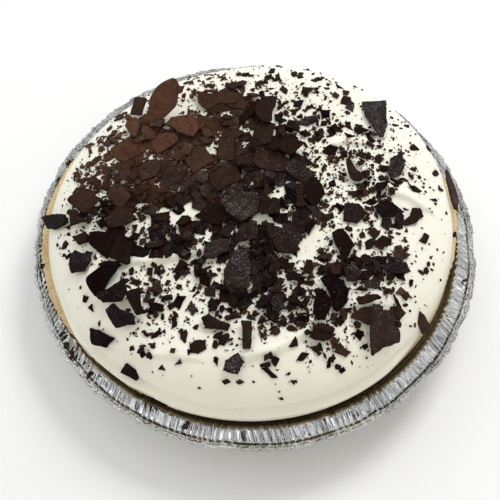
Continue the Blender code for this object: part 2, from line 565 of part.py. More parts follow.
def place_flake(ground, bare, flakes, look, rng, row):
    """Set one flake half into the cream, unless something already lies there."""
    x, y, length, width, turn = row
    number = len(flakes.objects)
    kind = FLAKE_KINDS[number % len(FLAKE_KINDS)]
    mesh = plate_mesh(outline_corners(kind, length * MM, width * MM, rng, 0.08), FLAKE_THICK)
    lift = math.radians(rng.uniform(*FLAKE_LIFT))
    flat = plate_matrix(x * MM, y * MM, math.radians(turn), 0.0, Vector((0, 0, 1)))
    normal = bare.slope(plate_corners(mesh, flat))
    matrix = plate_matrix(x * MM, y * MM, math.radians(turn), lift, normal)
    area, low, high = ground.shadow(plate_corners(mesh, matrix), mesh, matrix)
    covered = np.isfinite(low) & ground.taken[area]
    if not covered.any():
        depth = float(cream_height(x * MM, y * MM)) + FLAKE_RISE
        data = bpy.data.meshes.new(f"flake_{number}")
        mesh.to_mesh(data)
        flake = add_object(f"flake_{number}", data, flakes, look)
        flake.matrix_world = Matrix.Translation((0.0, 0.0, depth)) @ matrix
        ground.taken[area] |= np.isfinite(low)
    mesh.free()


def make_flakes(ground, bare, look):
    """Small flakes half sunk in the cream: the ones in the list, then more in the heaps."""
    rng = random.Random(SEED + 1)
    flakes = bpy.data.collections.new("flakes")
    for row in FLAKES:
        place_flake(ground, bare, flakes, look, rng, row)
    wanted = len(flakes.objects) + HEAP_FLAKES
    for _, row in zip(range(20 * HEAP_FLAKES), heap_flakes(rng)):
        if len(flakes.objects) >= wanted:
            break
        place_flake(ground, bare, flakes, look, rng, row)
    return flakes


def fuse(target, collection):
    """Join a collection's objects into the target with one Boolean union, then remove them."""
    bpy.context.scene.collection.children.link(collection)
    union = target.modifiers.new("Fuse", "BOOLEAN")
    union.operation = "UNION"
    union.operand_type = "COLLECTION"
    union.collection = collection
    union.solver = "EXACT"
    bake_modifiers(target)
    for thing in list(collection.objects):
        bpy.data.objects.remove(thing, do_unlink=True)
    bpy.data.collections.remove(collection)


def keep_largest_body(thing):
    """Drop any loose scrap that fusing left."""
    mesh = bmesh.new()
    mesh.from_mesh(thing.data)
    bmesh.ops.remove_doubles(mesh, verts=mesh.verts, dist=0.00001)
    bodies = []
    seen = set()
    for start in mesh.verts:
        if start in seen:
            continue
        body = {start}
        front = [start]
        while front:
            vertex = front.pop()
            for edge in vertex.link_edges:
                other = edge.other_vert(vertex)
                if other not in body:
                    body.add(other)
                    front.append(other)
        seen |= body
        bodies.append(body)
    largest = max(bodies, key=len)
    loose = [vertex for vertex in mesh.verts if vertex not in largest]
    bmesh.ops.delete(mesh, geom=loose, context="VERTS")
    bmesh.ops.triangulate(mesh, faces=mesh.faces)
    mesh.to_mesh(thing.data)
    mesh.free()


def shade(thing, angle):
    """Smooth shading with sharp edges where faces meet at more than the angle."""
    thing.data.shade_smooth()
    thing.data.set_sharp_from_angle(angle=math.radians(angle))


def main():
    """Build the pie."""
    for thing in list(bpy.data.objects):
        bpy.data.objects.remove(thing, do_unlink=True)
    pie = bpy.data.collections.new("chocolate_cream_pie")
    bpy.context.scene.collection.children.link(pie)
    foil = material("foil", (0.62, 0.64, 0.66), 0.28, 1.0)
    pastry = material("pastry", (0.60, 0.42, 0.22), 0.8)
    whipped = material("cream", (0.86, 0.83, 0.70), 0.45)
    chocolate = material("chocolate", (0.030, 0.018, 0.015), 0.45)

    tin = make_tin(pie, foil)
    crust = make_crust(pie, pastry)
    cream = make_cream(pie, whipped)
    ground = Ground()
    make_shards(ground, pie, chocolate)
    flakes = make_flakes(ground, Ground(), chocolate)
    fuse(cream, flakes)
    keep_largest_body(cream)
    for thing in (tin, crust, cream):
        shade(thing, 40)


main()
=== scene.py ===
"""Looks of the chocolate cream pie: foil tin, pastry, whipped cream, shards, flakes and crumbs."""
import math
import random
from functools import lru_cache

import bpy
import numpy as np
from mathutils import Matrix, Vector


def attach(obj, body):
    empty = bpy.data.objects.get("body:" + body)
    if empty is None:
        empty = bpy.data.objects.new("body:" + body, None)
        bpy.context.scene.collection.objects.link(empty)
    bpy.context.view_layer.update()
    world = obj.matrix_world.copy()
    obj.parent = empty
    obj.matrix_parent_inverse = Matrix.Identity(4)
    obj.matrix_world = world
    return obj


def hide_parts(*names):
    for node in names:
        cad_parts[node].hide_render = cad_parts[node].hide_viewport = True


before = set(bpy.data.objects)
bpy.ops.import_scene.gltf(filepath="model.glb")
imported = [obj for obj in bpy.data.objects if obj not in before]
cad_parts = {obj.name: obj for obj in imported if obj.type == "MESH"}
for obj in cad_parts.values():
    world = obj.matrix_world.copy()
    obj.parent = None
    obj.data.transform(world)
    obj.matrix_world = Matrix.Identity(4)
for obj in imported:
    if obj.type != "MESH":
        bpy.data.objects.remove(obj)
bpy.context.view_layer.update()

MM = 0.001
SEED = 5
BODY = "root"

# The camera stands where the rim's ellipse in the photo puts it
CAMERA_PLACE = (0.0, -202.7, 374.8)
CAMERA_DOWN = math.radians(61.15)
CAMERA_LEFT = math.radians(0.725)
CAMERA_LENS = 51.77

# The tin, in millimetres, as in the solid model
TIN_RADIUS = 122.25
TIN_HEIGHT = 30.0
TIN_BASE_RADIUS = 96.8
BEND_RADIUS = 113.4
BEND_HEIGHT = 28.0
BEND_SHIFT = (-1.4, 3.4)
FOIL = 0.25
PLEAT_STEPS = 1920
PLEAT_WIDTH = (1.0, 2.2)
PANEL_WIDTH = (3.0, 5.0)
PANEL_CHANCE = 0.08
PLEAT_DEPTH = 0.24
PLEAT_DEEPER = 0.58
FOLD_WEIGHTS = (1.0, 0.18)

# Section of the rolled rim: distance inward from the tin's outer edge, and height
RIM = (
    (3.3, 28.35), (2.7, 28.45), (2.2, 28.6), (1.9, 28.7), (1.6, 28.9), (1.3, 29.15), (0.9, 29.3),
    (0.5, 29.1), (0.25, 28.5), (0.8, 27.7), (1.6, 27.6),
)
# Where the wall starts above the base: radius and height
WALL_FOOT = (97.6, 1.3)

# The pastry and the cream
CRUST_TOP = 31.4
CRUST_SHOWS = 0.6
CRUST_SHOWS_MORE = ((185, 38, 3.8), (8, 20, 3.6), (90, 50, 2.0), (-80, 42, -1.9))
CRUST_WALL_INSET = 3.7
# Section of the pastry's lip: distance inward from its edge, and height
CRUST_SECTION = (
    (8.0, 31.2), (5.0, 31.35), (3.2, 31.4), (2.0, 31.45), (1.0, 31.4), (0.35, 31.1), (0.0, 30.7),
    (0.1, 30.2), (0.8, 29.9),
)
CREAM_RADIUS = 110.1
CREAM_CENTRE = (-1.4, 3.1)
CREAM_TWO_LOBES = (1.8, math.radians(32))
CREAM_THREE_LOBES = (0.8, math.radians(50))
CREAM_FOOT = 31.8
SHOULDER_HEIGHT = 22.0
SHOULDER_FULLER = (4.0, math.radians(-15))
SHOULDER_SHARE = 0.25
CROWN = 5.0
CREAM_STEPS = 560
CREAM_CROWN_RINGS = 98
CREAM_SHOULDER_RINGS = 58

# Ridges that the spatula left: points along the crest, height, width, share of the width on the steep side
SWIRLS = (
    (((-4, -85), (12, -81), (25, -72), (31, -62)), 3.2, 6.0, 0.3),
    (((-56, -35), (-42, -33), (-27, -29)), 2.8, 6.0, 0.3),
    (((-81, -34), (-84, -44), (-77, -53), (-62, -56)), 3.2, 6.0, 0.3),
    (((-80, -66), (-68, -76), (-58, -79), (-49, -85), (-44, -96)), 2.2, 6.0, 0.2),
    (((-49, -83), (-38, -83), (-29, -85)), 1.6, 5.0, 0.2),
    (((44, 38), (50, 41), (57, 39)), 2.2, 5.0, 0.4),
    (((52, 28), (59, 17)), 2.8, 5.0, 0.4),
    (((69, 7), (79, 4), (88, -2)), 2.6, 6.0, 0.3),
)
# Lips scraped in the cream's side: first and last degrees, level, reach of the crest, foot and hollow
LIPS = ((-154, -109, 0.24, 2.4, 0.2, 3.6), (-122, -40, 0.16, 0.9, 1.3, 1.6))
LIP_FADE = 12.0

# Lamps: name, place and size in metres, power in watts
LAMPS = (("key", (0.42, 0.62, 0.95), 0.45, 6.5), ("left", (-0.9, 0.1, 0.6), 0.4, 0.7))


def ease(share):
    """A share from 0 to 1 with a soft start and end."""
    return share * share * (3 - 2 * share)


@lru_cache(maxsize=None)
def noise_table(seed):
    """Random values at the corners of a square lattice."""
    return np.random.default_rng(seed).uniform(-1.0, 1.0, (512, 512))


def lattice(x, y, size, seed):
    """Smooth noise from -1 to 1 on a square lattice of that size."""
    table = noise_table(seed)
    count = len(table)
    u, v = np.asarray(x) / size + 200.0, np.asarray(y) / size + 200.0
    i, j = np.floor(u).astype(int), np.floor(v).astype(int)
    a, b = u - i, v - j
    a, b = ease(a), ease(b)
    i, j, k, l = i % count, j % count, (i + 1) % count, (j + 1) % count
    low = table[i, j] * (1 - a) + table[k, j] * a
    high = table[i, l] * (1 - a) + table[k, l] * a
    return low * (1 - b) + high * b


def cream_edge(angle):
    """Radius of the cream's edge about its own middle."""
    two = CREAM_TWO_LOBES[0] * np.cos(2.0 * (angle - CREAM_TWO_LOBES[1]))
    three = CREAM_THREE_LOBES[0] * np.cos(3.0 * (angle - CREAM_THREE_LOBES[1]))
    return CREAM_RADIUS + two + three


def swirl_relief(x, y):
    """Height that the spatula's ridges add, steep on one side of each crest."""
    total = np.zeros_like(x)
    for points, height, width, steep in SWIRLS:
        nearest = np.full_like(x, 1e9)
        reach = np.full_like(x, width)
        for (x0, y0), (x1, y1) in zip(points, points[1:]):
            along = np.array((x1 - x0, y1 - y0), dtype=float)
            share = np.clip(((x - x0) * along[0] + (y - y0) * along[1]) / along.dot(along), 0.0, 1.0)
            away = np.hypot(x - x0 - share * along[0], y - y0 - share * along[1])
            side = (x - x0) * along[1] - (y - y0) * along[0]
            closer = away < nearest
            nearest = np.where(closer, away, nearest)
            reach = np.where(closer, np.where(side > 0, width * steep, width), reach)
        total = total + height * np.exp(-(nearest / reach) ** 2)
    return total


def cream_height(x, y):
    """Height of the cream's surface, 0 outside its edge."""
    x = np.asarray(x, dtype=float)
    y = np.asarray(y, dtype=float)
    across, along = x - CREAM_CENTRE[0], y - CREAM_CENTRE[1]
    angle = np.arctan2(along, across)
    share = np.hypot(across, along) / cream_edge(angle)
    inside = np.clip(share, 0.0, 1.0)
    edge = np.clip((share - 1.0 + SHOULDER_SHARE) / SHOULDER_SHARE, 0.0, 1.0)
    dome = np.sqrt(1.0 - edge ** 2)
    fuller = SHOULDER_FULLER[0] * np.cos(angle - SHOULDER_FULLER[1]) * inside
    smooth = CREAM_FOOT + (SHOULDER_HEIGHT + fuller) * dome + CROWN * (1.0 - inside ** 2)
    wave = 0.5 * (np.sin(x / 11 + 0.8) * np.sin(y / 14) + np.sin((x + y) / 19))
    fine = 0.35 * lattice(x, y, 9.0, 1) + 0.14 * lattice(x, y, 3.5, 2) + 0.05 * lattice(x, y, 1.4, 3)
    return np.where(share <= 1.0, smooth + (swirl_relief(x, y) + wave + fine) * dome, 0.0)


def mesh_object(name, points, faces, material, slot):
    """A mesh in millimetres as an object that rides on the pie."""
    mesh = bpy.data.meshes.new(name)
    mesh.from_pydata([tuple(p) for p in np.asarray(points) * MM], [], faces)
    mesh.materials.append(material)
    mesh.validate()
    mesh.shade_smooth()
    thing = bpy.data.objects.new(name, mesh)
    bpy.context.scene.collection.objects.link(thing)
    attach(thing, BODY)
    return thing


def grid_faces(rows, columns, flip=False):
    """Quads between rows of points, each row closed into a ring."""
    faces = []
    for row in range(rows - 1):
        for column in range(columns):
            after = (column + 1) % columns
            a, b = row * columns + column, row * columns + after
            c, d = (row + 1) * columns + after, (row + 1) * columns + column
            faces.append((d, c, b, a) if flip else (a, b, c, d))
    return faces


class Nodes:
    """A node tree, with short ways to add and join nodes."""

    def __init__(self, tree):
        self.tree = tree

    def add(self, kind, inputs=None, **settings):
        node = self.tree.nodes.new(kind)
        for key, value in settings.items():
            setattr(node, key, value)
        for key, value in (inputs or {}).items():
            if isinstance(value, bpy.types.NodeSocket):
                self.tree.links.new(value, node.inputs[key])
            else:
                node.inputs[key].default_value = value
        return node

    def place(self):
        return self.add("ShaderNodeTexCoord").outputs["Object"]

    def noise(self, scale, detail=3.0, roughness=0.55, vector=None):
        inputs = {"Scale": scale, "Detail": detail, "Roughness": roughness}
        inputs["Vector"] = vector if vector is not None else self.place()
        return self.add("ShaderNodeTexNoise", inputs).outputs["Fac"]

    def ramp(self, value, *stops):
        node = self.add("ShaderNodeValToRGB", {"Fac": value})
        for index, (position, colour) in enumerate(stops):
            stop = node.color_ramp.elements[index] if index < 2 else node.color_ramp.elements.new(position)
            stop.position = position
            stop.color = (*colour, 1.0)
        return node.outputs["Color"]

    def mix(self, share, first, second, blend="MIX"):
        node = self.add("ShaderNodeMix", data_type="RGBA", blend_type=blend)
        for index, value in ((0, share), (6, first), (7, second)):
            if isinstance(value, bpy.types.NodeSocket):
                self.tree.links.new(value, node.inputs[index])
            elif index == 0:
                node.inputs[index].default_value = value
            else:
                node.inputs[index].default_value = (*value, 1.0)
        return node.outputs[2]

    def math(self, operation, first, second=0.0, clamp=False):
        node = self.add("ShaderNodeMath", operation=operation, use_clamp=clamp)
        for index, value in enumerate((first, second)):
            if isinstance(value, bpy.types.NodeSocket):
                self.tree.links.new(value, node.inputs[index])
            else:
                node.inputs[index].default_value = value
        return node.outputs[0]

    def times(self, first, second, clamp=False):
        return self.math("MULTIPLY", first, second, clamp)

    def bump(self, height, strength, distance, normal=None):
        inputs = {"Height": height, "Strength": strength, "Distance": distance}
        if normal is not None:
            inputs["Normal"] = normal
        return self.add("ShaderNodeBump", inputs).outputs["Normal"]


class Shading(Nodes):
    """A new material and its node tree."""

    def __init__(self, name):
        self.material = bpy.data.materials.new(name)
        self.material.use_nodes = True
        super().__init__(self.material.node_tree)
        self.shader = self.tree.nodes["Principled BSDF"]

    def set(self, **values):
        for key, value in values.items():
            socket = self.shader.inputs[key.replace("_", " ")]
            if isinstance(value, bpy.types.NodeSocket):
                self.tree.links.new(value, socket)
            else:
                socket.default_value = value


def foil_material():
    """Thin aluminium: fine creases, uneven polish, and on the wall inside a tan painted reflection of the
    pastry.
    """
    m = Shading("foil")
    spot = m.add("ShaderNodeSeparateXYZ", {"Vector": m.place()})
    turn = m.math("ARCTAN2", spot.outputs["Y"], spot.outputs["X"])
    flat = m.add("ShaderNodeCombineXYZ", {"X": spot.outputs["X"], "Y": spot.outputs["Y"]})
    radius = m.add("ShaderNodeVectorMath", {0: flat.outputs["Vector"]}, operation="LENGTH").outputs["Value"]
    around = m.times(turn, BEND_RADIUS * MM)
    across = m.times(radius, 0.22)
    polar = m.add("ShaderNodeCombineXYZ", {"X": around, "Y": across, "Z": spot.outputs["Z"]})
    polar = polar.outputs["Vector"]
    smudge = m.ramp(m.noise(70, 4.0), (0.32, (0.46, 0.47, 0.47)), (0.68, (0.72, 0.73, 0.735)))
    streak = m.ramp(m.noise(900, 3.0, 0.6, polar), (0.36, (0.80, 0.80, 0.79)), (0.6, (1.0, 1.0, 1.0)))
    colour = m.mix(1.0, smudge, streak, "MULTIPLY")
    # Painted reflection and painted light: on the wall below the bend, up-facing foil gets a tan colour and
    # less metal. This stands in for the pastry mirrored there and lightens the shaded wall.
    below = m.math("SUBTRACT", (BEND_HEIGHT - 3.0) * MM, spot.outputs["Z"])
    inside = m.math("DIVIDE", below, 2.0 * MM, clamp=True)
    facing = m.add("ShaderNodeSeparateXYZ", {"Vector": m.add("ShaderNodeNewGeometry").outputs["Normal"]})
    inside = m.times(inside, m.math("GREATER_THAN", facing.outputs["Z"], 0.0))
    inside = m.times(inside, m.math("LESS_THAN", radius, (BEND_RADIUS + 3.0) * MM))
    m.set(Metallic=m.math("SUBTRACT", 1.0, m.times(inside, 0.5)))
    m.set(Base_Color=m.mix(m.times(inside, 0.8), colour, (0.52, 0.44, 0.27)))
    m.set(Roughness=m.ramp(m.noise(160, 4.0), (0.3, (0.06,) * 3), (0.7, (0.20,) * 3)))
    m.set(Normal=m.bump(m.noise(500, 2.0, 0.5, polar), 0.10, 0.3 * MM))
    return m.material


def pastry_material():
    """Pale baked pastry, granular and a little browner in patches."""
    m = Shading("pastry")
    patches = m.ramp(m.noise(90, 4.0), (0.3, (0.66, 0.50, 0.26)), (0.7, (0.78, 0.63, 0.38)))
    grains = m.ramp(m.noise(900, 3.0), (0.35, (0.62, 0.5, 0.36)), (0.6, (1.0, 1.0, 1.0)))
    m.set(Base_Color=m.mix(0.7, patches, grains, "MULTIPLY"))
    m.set(Roughness=0.75, Subsurface_Weight=0.08, Subsurface_Scale=1.0 * MM)
    m.set(Normal=m.bump(m.noise(700, 5.0, 0.65), 0.6, 0.5 * MM))
    return m.material


def cream_material():
    """Whipped cream: warm white, satin, with faint tan specks and tiny pores."""
    m = Shading("cream")
    tint = m.ramp(m.noise(45, 3.0), (0.3, (0.885, 0.86, 0.735)), (0.7, (0.91, 0.89, 0.785)))
    spots = m.add("ShaderNodeTexVoronoi", {"Scale": 260.0, "Vector": m.place()})
    near = m.math("LESS_THAN", spots.outputs["Distance"], 0.16)
    rare = m.math("GREATER_THAN", spots.outputs["Color"], 0.86)
    speck = m.times(near, rare)
    m.set(Base_Color=m.mix(m.times(speck, 0.45), tint, (0.52, 0.38, 0.22)))
    m.set(Roughness=0.42, Specular_IOR_Level=0.4)
    m.set(Subsurface_Weight=0.2, Subsurface_Scale=1.2 * MM, Subsurface_Radius=(1.0, 0.7, 0.4))
    soft = m.bump(m.noise(230, 4.0), 0.25, 0.6 * MM)
    m.set(Normal=m.bump(m.noise(1100, 3.0), 0.12, 0.2 * MM, soft))
    return m.material


def chocolate_material():
    """Dark chocolate; the tone attribute holds how brown and how bloomed it is, and a chance value. The
    brown end partly paints the brighter light at the back left, and the pale specks are partly painted
    glints.
    """
    m = Shading("chocolate")
    tone = m.add("ShaderNodeAttribute", attribute_name="tone")
    split = m.add("ShaderNodeSeparateColor", {"Color": tone.outputs["Color"]})
    brown, bloom, chance = split.outputs[0], split.outputs[1], split.outputs[2]
    # Painted light in part: the brown end is the colour of the better lit chocolate at the back left.
    base = m.mix(brown, (0.0042, 0.0009, 0.0011), (0.087, 0.041, 0.0235))
    mottle = m.ramp(m.noise(280, 5.0, 0.6), (0.32, (0.35,) * 3), (0.62, (1.0,) * 3))
    base = m.mix(m.times(bloom, mottle), base, (0.036, 0.029, 0.028))
    shades = m.ramp(m.noise(350, 4.0), (0.3, (0.72, 0.72, 0.72)), (0.7, (1.28, 1.26, 1.24)))
    base = m.mix(1.0, base, shades, "MULTIPLY")
    lighter = m.times(m.math("SUBTRACT", chance, 0.6, clamp=True), 0.08)
    base = m.mix(lighter, base, (0.20, 0.15, 0.12))
    # Pale specks: partly bloom where the chocolate is bloomed, partly painted glints that stand in for
    # sparkle everywhere.
    grains = m.ramp(m.noise(1700, 2.0, 0.5), (0.57, (0.0,) * 3), (0.66, (1.0,) * 3))
    patches = m.ramp(m.noise(150, 3.0), (0.40, (0.12,) * 3), (0.60, (1.0,) * 3))
    bloom_and_painted_glints = m.math("ADD", m.times(bloom, 0.9), 0.06)
    speck = m.times(m.times(grains, patches), bloom_and_painted_glints)
    m.set(Base_Color=m.mix(speck, base, (0.34, 0.32, 0.32)))
    m.set(Roughness=m.ramp(m.noise(500, 3.0), (0.3, (0.42,) * 3), (0.7, (0.66,) * 3)))
    m.set(Specular_IOR_Level=0.035)
    rough = m.bump(m.noise(600, 4.0, 0.6), 0.45, 0.4 * MM)
    m.set(Normal=m.bump(m.noise(2200, 2.0), 0.2, 0.12 * MM, rough))
    return m.material


def pleat_folds(rng):
    """Height of the pleats round the tin, from -1 to 1, and how deep they are, at each step."""
    edges = [0.0]
    around = math.tau * BEND_RADIUS
    while edges[-1] < around:
        width = PANEL_WIDTH if rng.random() < PANEL_CHANCE else PLEAT_WIDTH
        edges.append(edges[-1] + rng.uniform(*width))
    edges = [edge * around / edges[-1] for edge in edges]
    if len(edges) % 2 == 0:
        edges.pop(len(edges) // 2)
    heights = [(1.0 if index % 2 else -1.0) * rng.uniform(0.45, 1.0) for index in range(len(edges) - 1)]
    heights.append(heights[0])
    return np.array(edges) / around * math.tau, np.array(heights)


def tin_rows():
    """Outer skin of the tin as rows of radius, height, and how far the row follows the pleats."""
    rows = [(0.5, 0.0, 0.0), (60.0, 0.0, 0.0), (95.2, 0.15, 0.05), (*WALL_FOOT, 0.35)]
    top_radius, top_height = BEND_RADIUS - 0.9, BEND_HEIGHT - 1.6
    for share in (0.3, 0.7, 1.0):
        radius = WALL_FOOT[0] + share * (top_radius - WALL_FOOT[0])
        height = WALL_FOOT[1] + share * (top_height - WALL_FOOT[1])
        rows.append((radius, height, 0.5 + 0.5 * share))
    rows.append((BEND_RADIUS - 0.2, BEND_HEIGHT - 0.3, 1.0))
    rows.append((BEND_RADIUS + 0.7, BEND_HEIGHT, 1.0))
    for share in (0.2, 0.4, 0.6, 0.8, 1.0):
        radius = BEND_RADIUS + 0.7 + share * (TIN_RADIUS - 3.9 - BEND_RADIUS)
        rows.append((radius, BEND_HEIGHT + share * 0.3, 1.0 - 0.25 * share))
    for inward, height in RIM:
        rows.append((TIN_RADIUS - inward, height, 0.45 if inward > 2.0 else 0.15))
    return rows


def make_tin(material):
    """The foil tin, with fine uneven pleats that lean both ways, and a crimped rim rolled in two ridges."""
    rng = random.Random(SEED)
    angle = np.arange(PLEAT_STEPS) * math.tau / PLEAT_STEPS
    around = angle * BEND_RADIUS
    none = 0.0 * angle
    calm = 0.5 + 0.5 * lattice(around / 8.0, none, 1.0, 11)
    depth = PLEAT_DEPTH + PLEAT_DEEPER * calm
    leans = (
        0.1 + 0.35 * lattice(around / 20.0, none + 9, 1.0, 12),
        -0.25 + 0.5 * lattice(around / 14.0, none, 1.0, 17),
    )
    sets = [(*pleat_folds(rng), lean, weight) for lean, weight in zip(leans, FOLD_WEIGHTS)]
    points = []
    for radius, height, follow in tin_rows():
        fold = none
        for edges, heights, lean, weight in sets:
            shifted = (angle + lean * (radius - BEND_RADIUS) / BEND_RADIUS * follow) % math.tau
            fold = fold + weight * np.interp(shifted, edges, heights)
        crease = 0.04 * lattice(around / 0.8, none + radius / 3.0, 1.0, 14)
        fold = (fold * depth + crease) * follow
        on_wall = radius <= BEND_RADIUS
        dent = np.clip(lattice(around / 9.0, none, 1.0, 16), 0.0, 1.0)
        near_rim = min(1.0, max(0.0, (radius - TIN_RADIUS + 6.0) / 4.0))
        outward = fold * 0.8 if on_wall and height > 0.5 else near_rim * (-0.4 - 0.9 * dent)
        upward = none if on_wall else fold * 1.35
        if radius > TIN_RADIUS - 2.0:
            coarse = lattice(around / 2.6, none + 2.0 * radius, 1.0, 13)
            fine = lattice(around / 1.0, none + 3.0 * radius, 1.0, 15)
            outward = np.minimum(0.40 * coarse + 0.30 * fine - 0.4 - 0.9 * dent, 0.0)
            upward = np.minimum(0.42 * coarse + 0.36 * fine, TIN_HEIGHT - 0.02 - height)
        rise = np.clip(height / BEND_HEIGHT, 0.0, 1.0) if on_wall else 1.0
        out = 1.0 - np.clip((radius - BEND_RADIUS - 1.0) / (TIN_RADIUS - 4.0 - BEND_RADIUS), 0.0, 1.0)
        shift = ease(rise) * out
        x = (radius + outward) * np.cos(angle) + BEND_SHIFT[0] * shift
        y = (radius + outward) * np.sin(angle) + BEND_SHIFT[1] * shift
        points.append(np.column_stack((x, y, np.full_like(x, height) + upward)))
    faces = grid_faces(len(points), PLEAT_STEPS, flip=True)
    faces.append(tuple(range(PLEAT_STEPS)))
    tin = mesh_object("tin_foil", np.concatenate(points), faces, material, "foil")
    skin = tin.modifiers.new("Foil", "SOLIDIFY")
    skin.thickness = FOIL * MM
    skin.offset = 1.0
    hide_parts("foil_tin")


def crust_edge(angle):
    """Radius of the pastry's ragged lip about the cream's middle."""
    shows = CRUST_SHOWS
    for middle, spread, more in CRUST_SHOWS_MORE:
        away = (np.degrees(angle) - middle + 180.0) % 360.0 - 180.0
        shows = shows + more * np.exp(-(away / spread) ** 2)
    ragged = np.sin(9 * angle + 1.0) + 0.8 * np.sin(23 * angle) + 0.6 * np.sin(37 * angle + 2.0)
    return cream_edge(angle) + shows + 0.25 * ragged


def make_crust(material):
    """The pastry: ragged lip under the cream's edge, wall inside the tin."""
    steps = 900
    angle = np.arange(steps) * math.tau / steps
    ragged = 0.35 * lattice(angle * 70, angle * 0, 1.0, 21)
    lip = crust_edge(angle) + ragged + 0.2 * lattice(angle * 190, angle * 0, 1.0, 22)
    wall = BEND_RADIUS - CRUST_WALL_INSET
    rows = []
    for inset, height in CRUST_SECTION:
        bumpy = 0.12 * lattice(angle * 120, angle * 0 + height * 7, 1.0, 23) * (1.0 if inset < 6 else 0.0)
        radius = lip - inset
        x = CREAM_CENTRE[0] + radius * np.cos(angle)
        y = CREAM_CENTRE[1] + radius * np.sin(angle)
        rows.append(np.column_stack((x, y, height + bumpy)))
    base = TIN_BASE_RADIUS
    for radius, height in ((wall, 29.9), (wall - 0.8, 26.0), (base - 1.2, 4.0), (base - 4.5, 1.1)):
        shift = ease(min(1.0, height / BEND_HEIGHT))
        x = radius * np.cos(angle) + BEND_SHIFT[0] * shift
        y = radius * np.sin(angle) + BEND_SHIFT[1] * shift
        rows.append(np.column_stack((x, y, np.full_like(x, height))))
    faces = grid_faces(len(rows), steps, flip=True)
    faces.append(tuple(range(steps)))
    count = (len(rows) - 1) * steps
    faces.append(tuple(count + index for index in reversed(range(steps))))
    crust = mesh_object("pastry", np.concatenate(rows), faces, material, "pastry")
    crust.data.set_sharp_from_angle(angle=math.radians(50))
    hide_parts("crust")


def scraped_lip(degrees, dome):
    """How far the cream's side stands out at a height, given as a share of the side."""
    total = 0.0 * degrees
    for first, last, level, crest, foot, hollow in LIPS:
        turn = (degrees + 180.0) % 360.0 - 180.0
        ends = np.clip((turn - first) / LIP_FADE, 0.0, 1.0) * np.clip((last - turn) / LIP_FADE, 0.0, 1.0)
        above = dome - level - 0.05 * lattice(turn / 9.0, turn * 0 + 10.0 * level, 1.0, 41)
        push = crest * np.exp(-(above / 0.045) ** 2) - hollow * np.exp(-((above - 0.12) / 0.06) ** 2)
        total = total + ends * (push + foot * np.clip(0.5 - above / 0.06, 0.0, 1.0))
    return total


def make_cream(material):
    """The dome of cream as rings of points, with the spatula's ridges and a soft wavy foot."""
    angle = np.arange(CREAM_STEPS) * math.tau / CREAM_STEPS
    crown_end = 1.0 - SHOULDER_SHARE
    shares = [crown_end * ring / CREAM_CROWN_RINGS for ring in range(1, CREAM_CROWN_RINGS + 1)]
    for ring in range(1, CREAM_SHOULDER_RINGS + 1):
        shares.append(crown_end + SHOULDER_SHARE * math.sin(0.5 * math.pi * ring / CREAM_SHOULDER_RINGS))
    rows = []
    for share in shares:
        radius = min(share, 0.99999) * cream_edge(angle)
        x = CREAM_CENTRE[0] + radius * np.cos(angle)
        y = CREAM_CENTRE[1] + radius * np.sin(angle)
        z = cream_height(x, y)
        edge = max(0.0, (share - crown_end) / SHOULDER_SHARE)
        push = scraped_lip(np.degrees(angle), math.sqrt(max(0.0, 1.0 - edge * edge)))
        rows.append(np.column_stack((x + push * np.cos(angle), y + push * np.sin(angle), z)))
    foot = rows[-1].copy()
    for drop, inset in ((0.1, 0.0), (0.25, 0.5), (0.35, 2.5)):
        ring = foot.copy()
        ring[:, 0] -= inset * np.cos(angle)
        ring[:, 1] -= inset * np.sin(angle)
        ring[:, 2] = CREAM_FOOT - drop
        rows.append(ring)
    faces = grid_faces(len(rows), CREAM_STEPS)
    top = len(rows) * CREAM_STEPS
    centre = np.array([[CREAM_CENTRE[0], CREAM_CENTRE[1], float(cream_height(*CREAM_CENTRE))]])
    for column in range(CREAM_STEPS):
        faces.append((top, (column + 1) % CREAM_STEPS, column)[::-1])
    last = (len(rows) - 1) * CREAM_STEPS
    faces.append(tuple(last + index for index in range(CREAM_STEPS)))
    cream = mesh_object("cream_dome", np.concatenate(rows + [centre]), faces, material, "cream")
    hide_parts("cream")


# How brown and how bloomed each large shard is, by node number; the brown of shards at the back left partly
# paints the brighter light there
SHARD_TONES = {
    1: (0.75, 0.0), 2: (1.0, 0.0), 3: (0.45, 0.3), 4: (0.9, 0.0), 5: (0.95, 0.0), 6: (0.6, 0.1),
    7: (1.0, 0.0), 8: (0.55, 0.1), 9: (0.5, 0.05), 10: (0.37, 0.05), 11: (0.45, 0.15), 12: (0.0, 0.12),
    13: (0.22, 0.05), 14: (0.25, 0.1), 15: (0.18, 0.1), 16: (0.04, 0.0), 17: (0.0, 0.3), 18: (0.0, 0.0),
    19: (0.02, 0.15), 20: (0.06, 0.1), 21: (0.0, 0.25), 22: (0.0, 0.1), 23: (0.1, 0.0), 24: (0.1, 0.65),
    25: (0.25, 0.3), 26: (0.3, 0.1), 27: (0.45, 0.1), 28: (0.25, 0.2), 29: (0.1, 0.35), 30: (0.12, 0.05),
    31: (0.25, 0.1), 32: (0.08, 0.0), 33: (0.18, 0.05), 34: (0.09, 0.0), 35: (0.0, 0.8), 36: (0.2, 0.15),
    37: (0.0, 0.55), 38: (0.02, 0.1), 39: (0.1, 0.15), 40: (0.1, 0.15), 41: (0.1, 0.3), 42: (0.1, 0.2),
    43: (0.1, 0.65), 44: (0.1, 0.55), 45: (0.06, 0.02), 46: (0.0, 0.03), 47: (0.35, 0.4), 48: (0.35, 0.1),
    49: (0.1, 0.15), 50: (0.0, 0.75), 51: (0.08, 0.03), 52: (0.03, 0.0), 53: (0.2, 0.05), 54: (0.3, 0.4),
    55: (0.15, 0.1), 56: (0.2, 0.15), 57: (0.35, 0.4),
}
SMOOTH_SHARDS = (7, 10, 18, 34, 36)

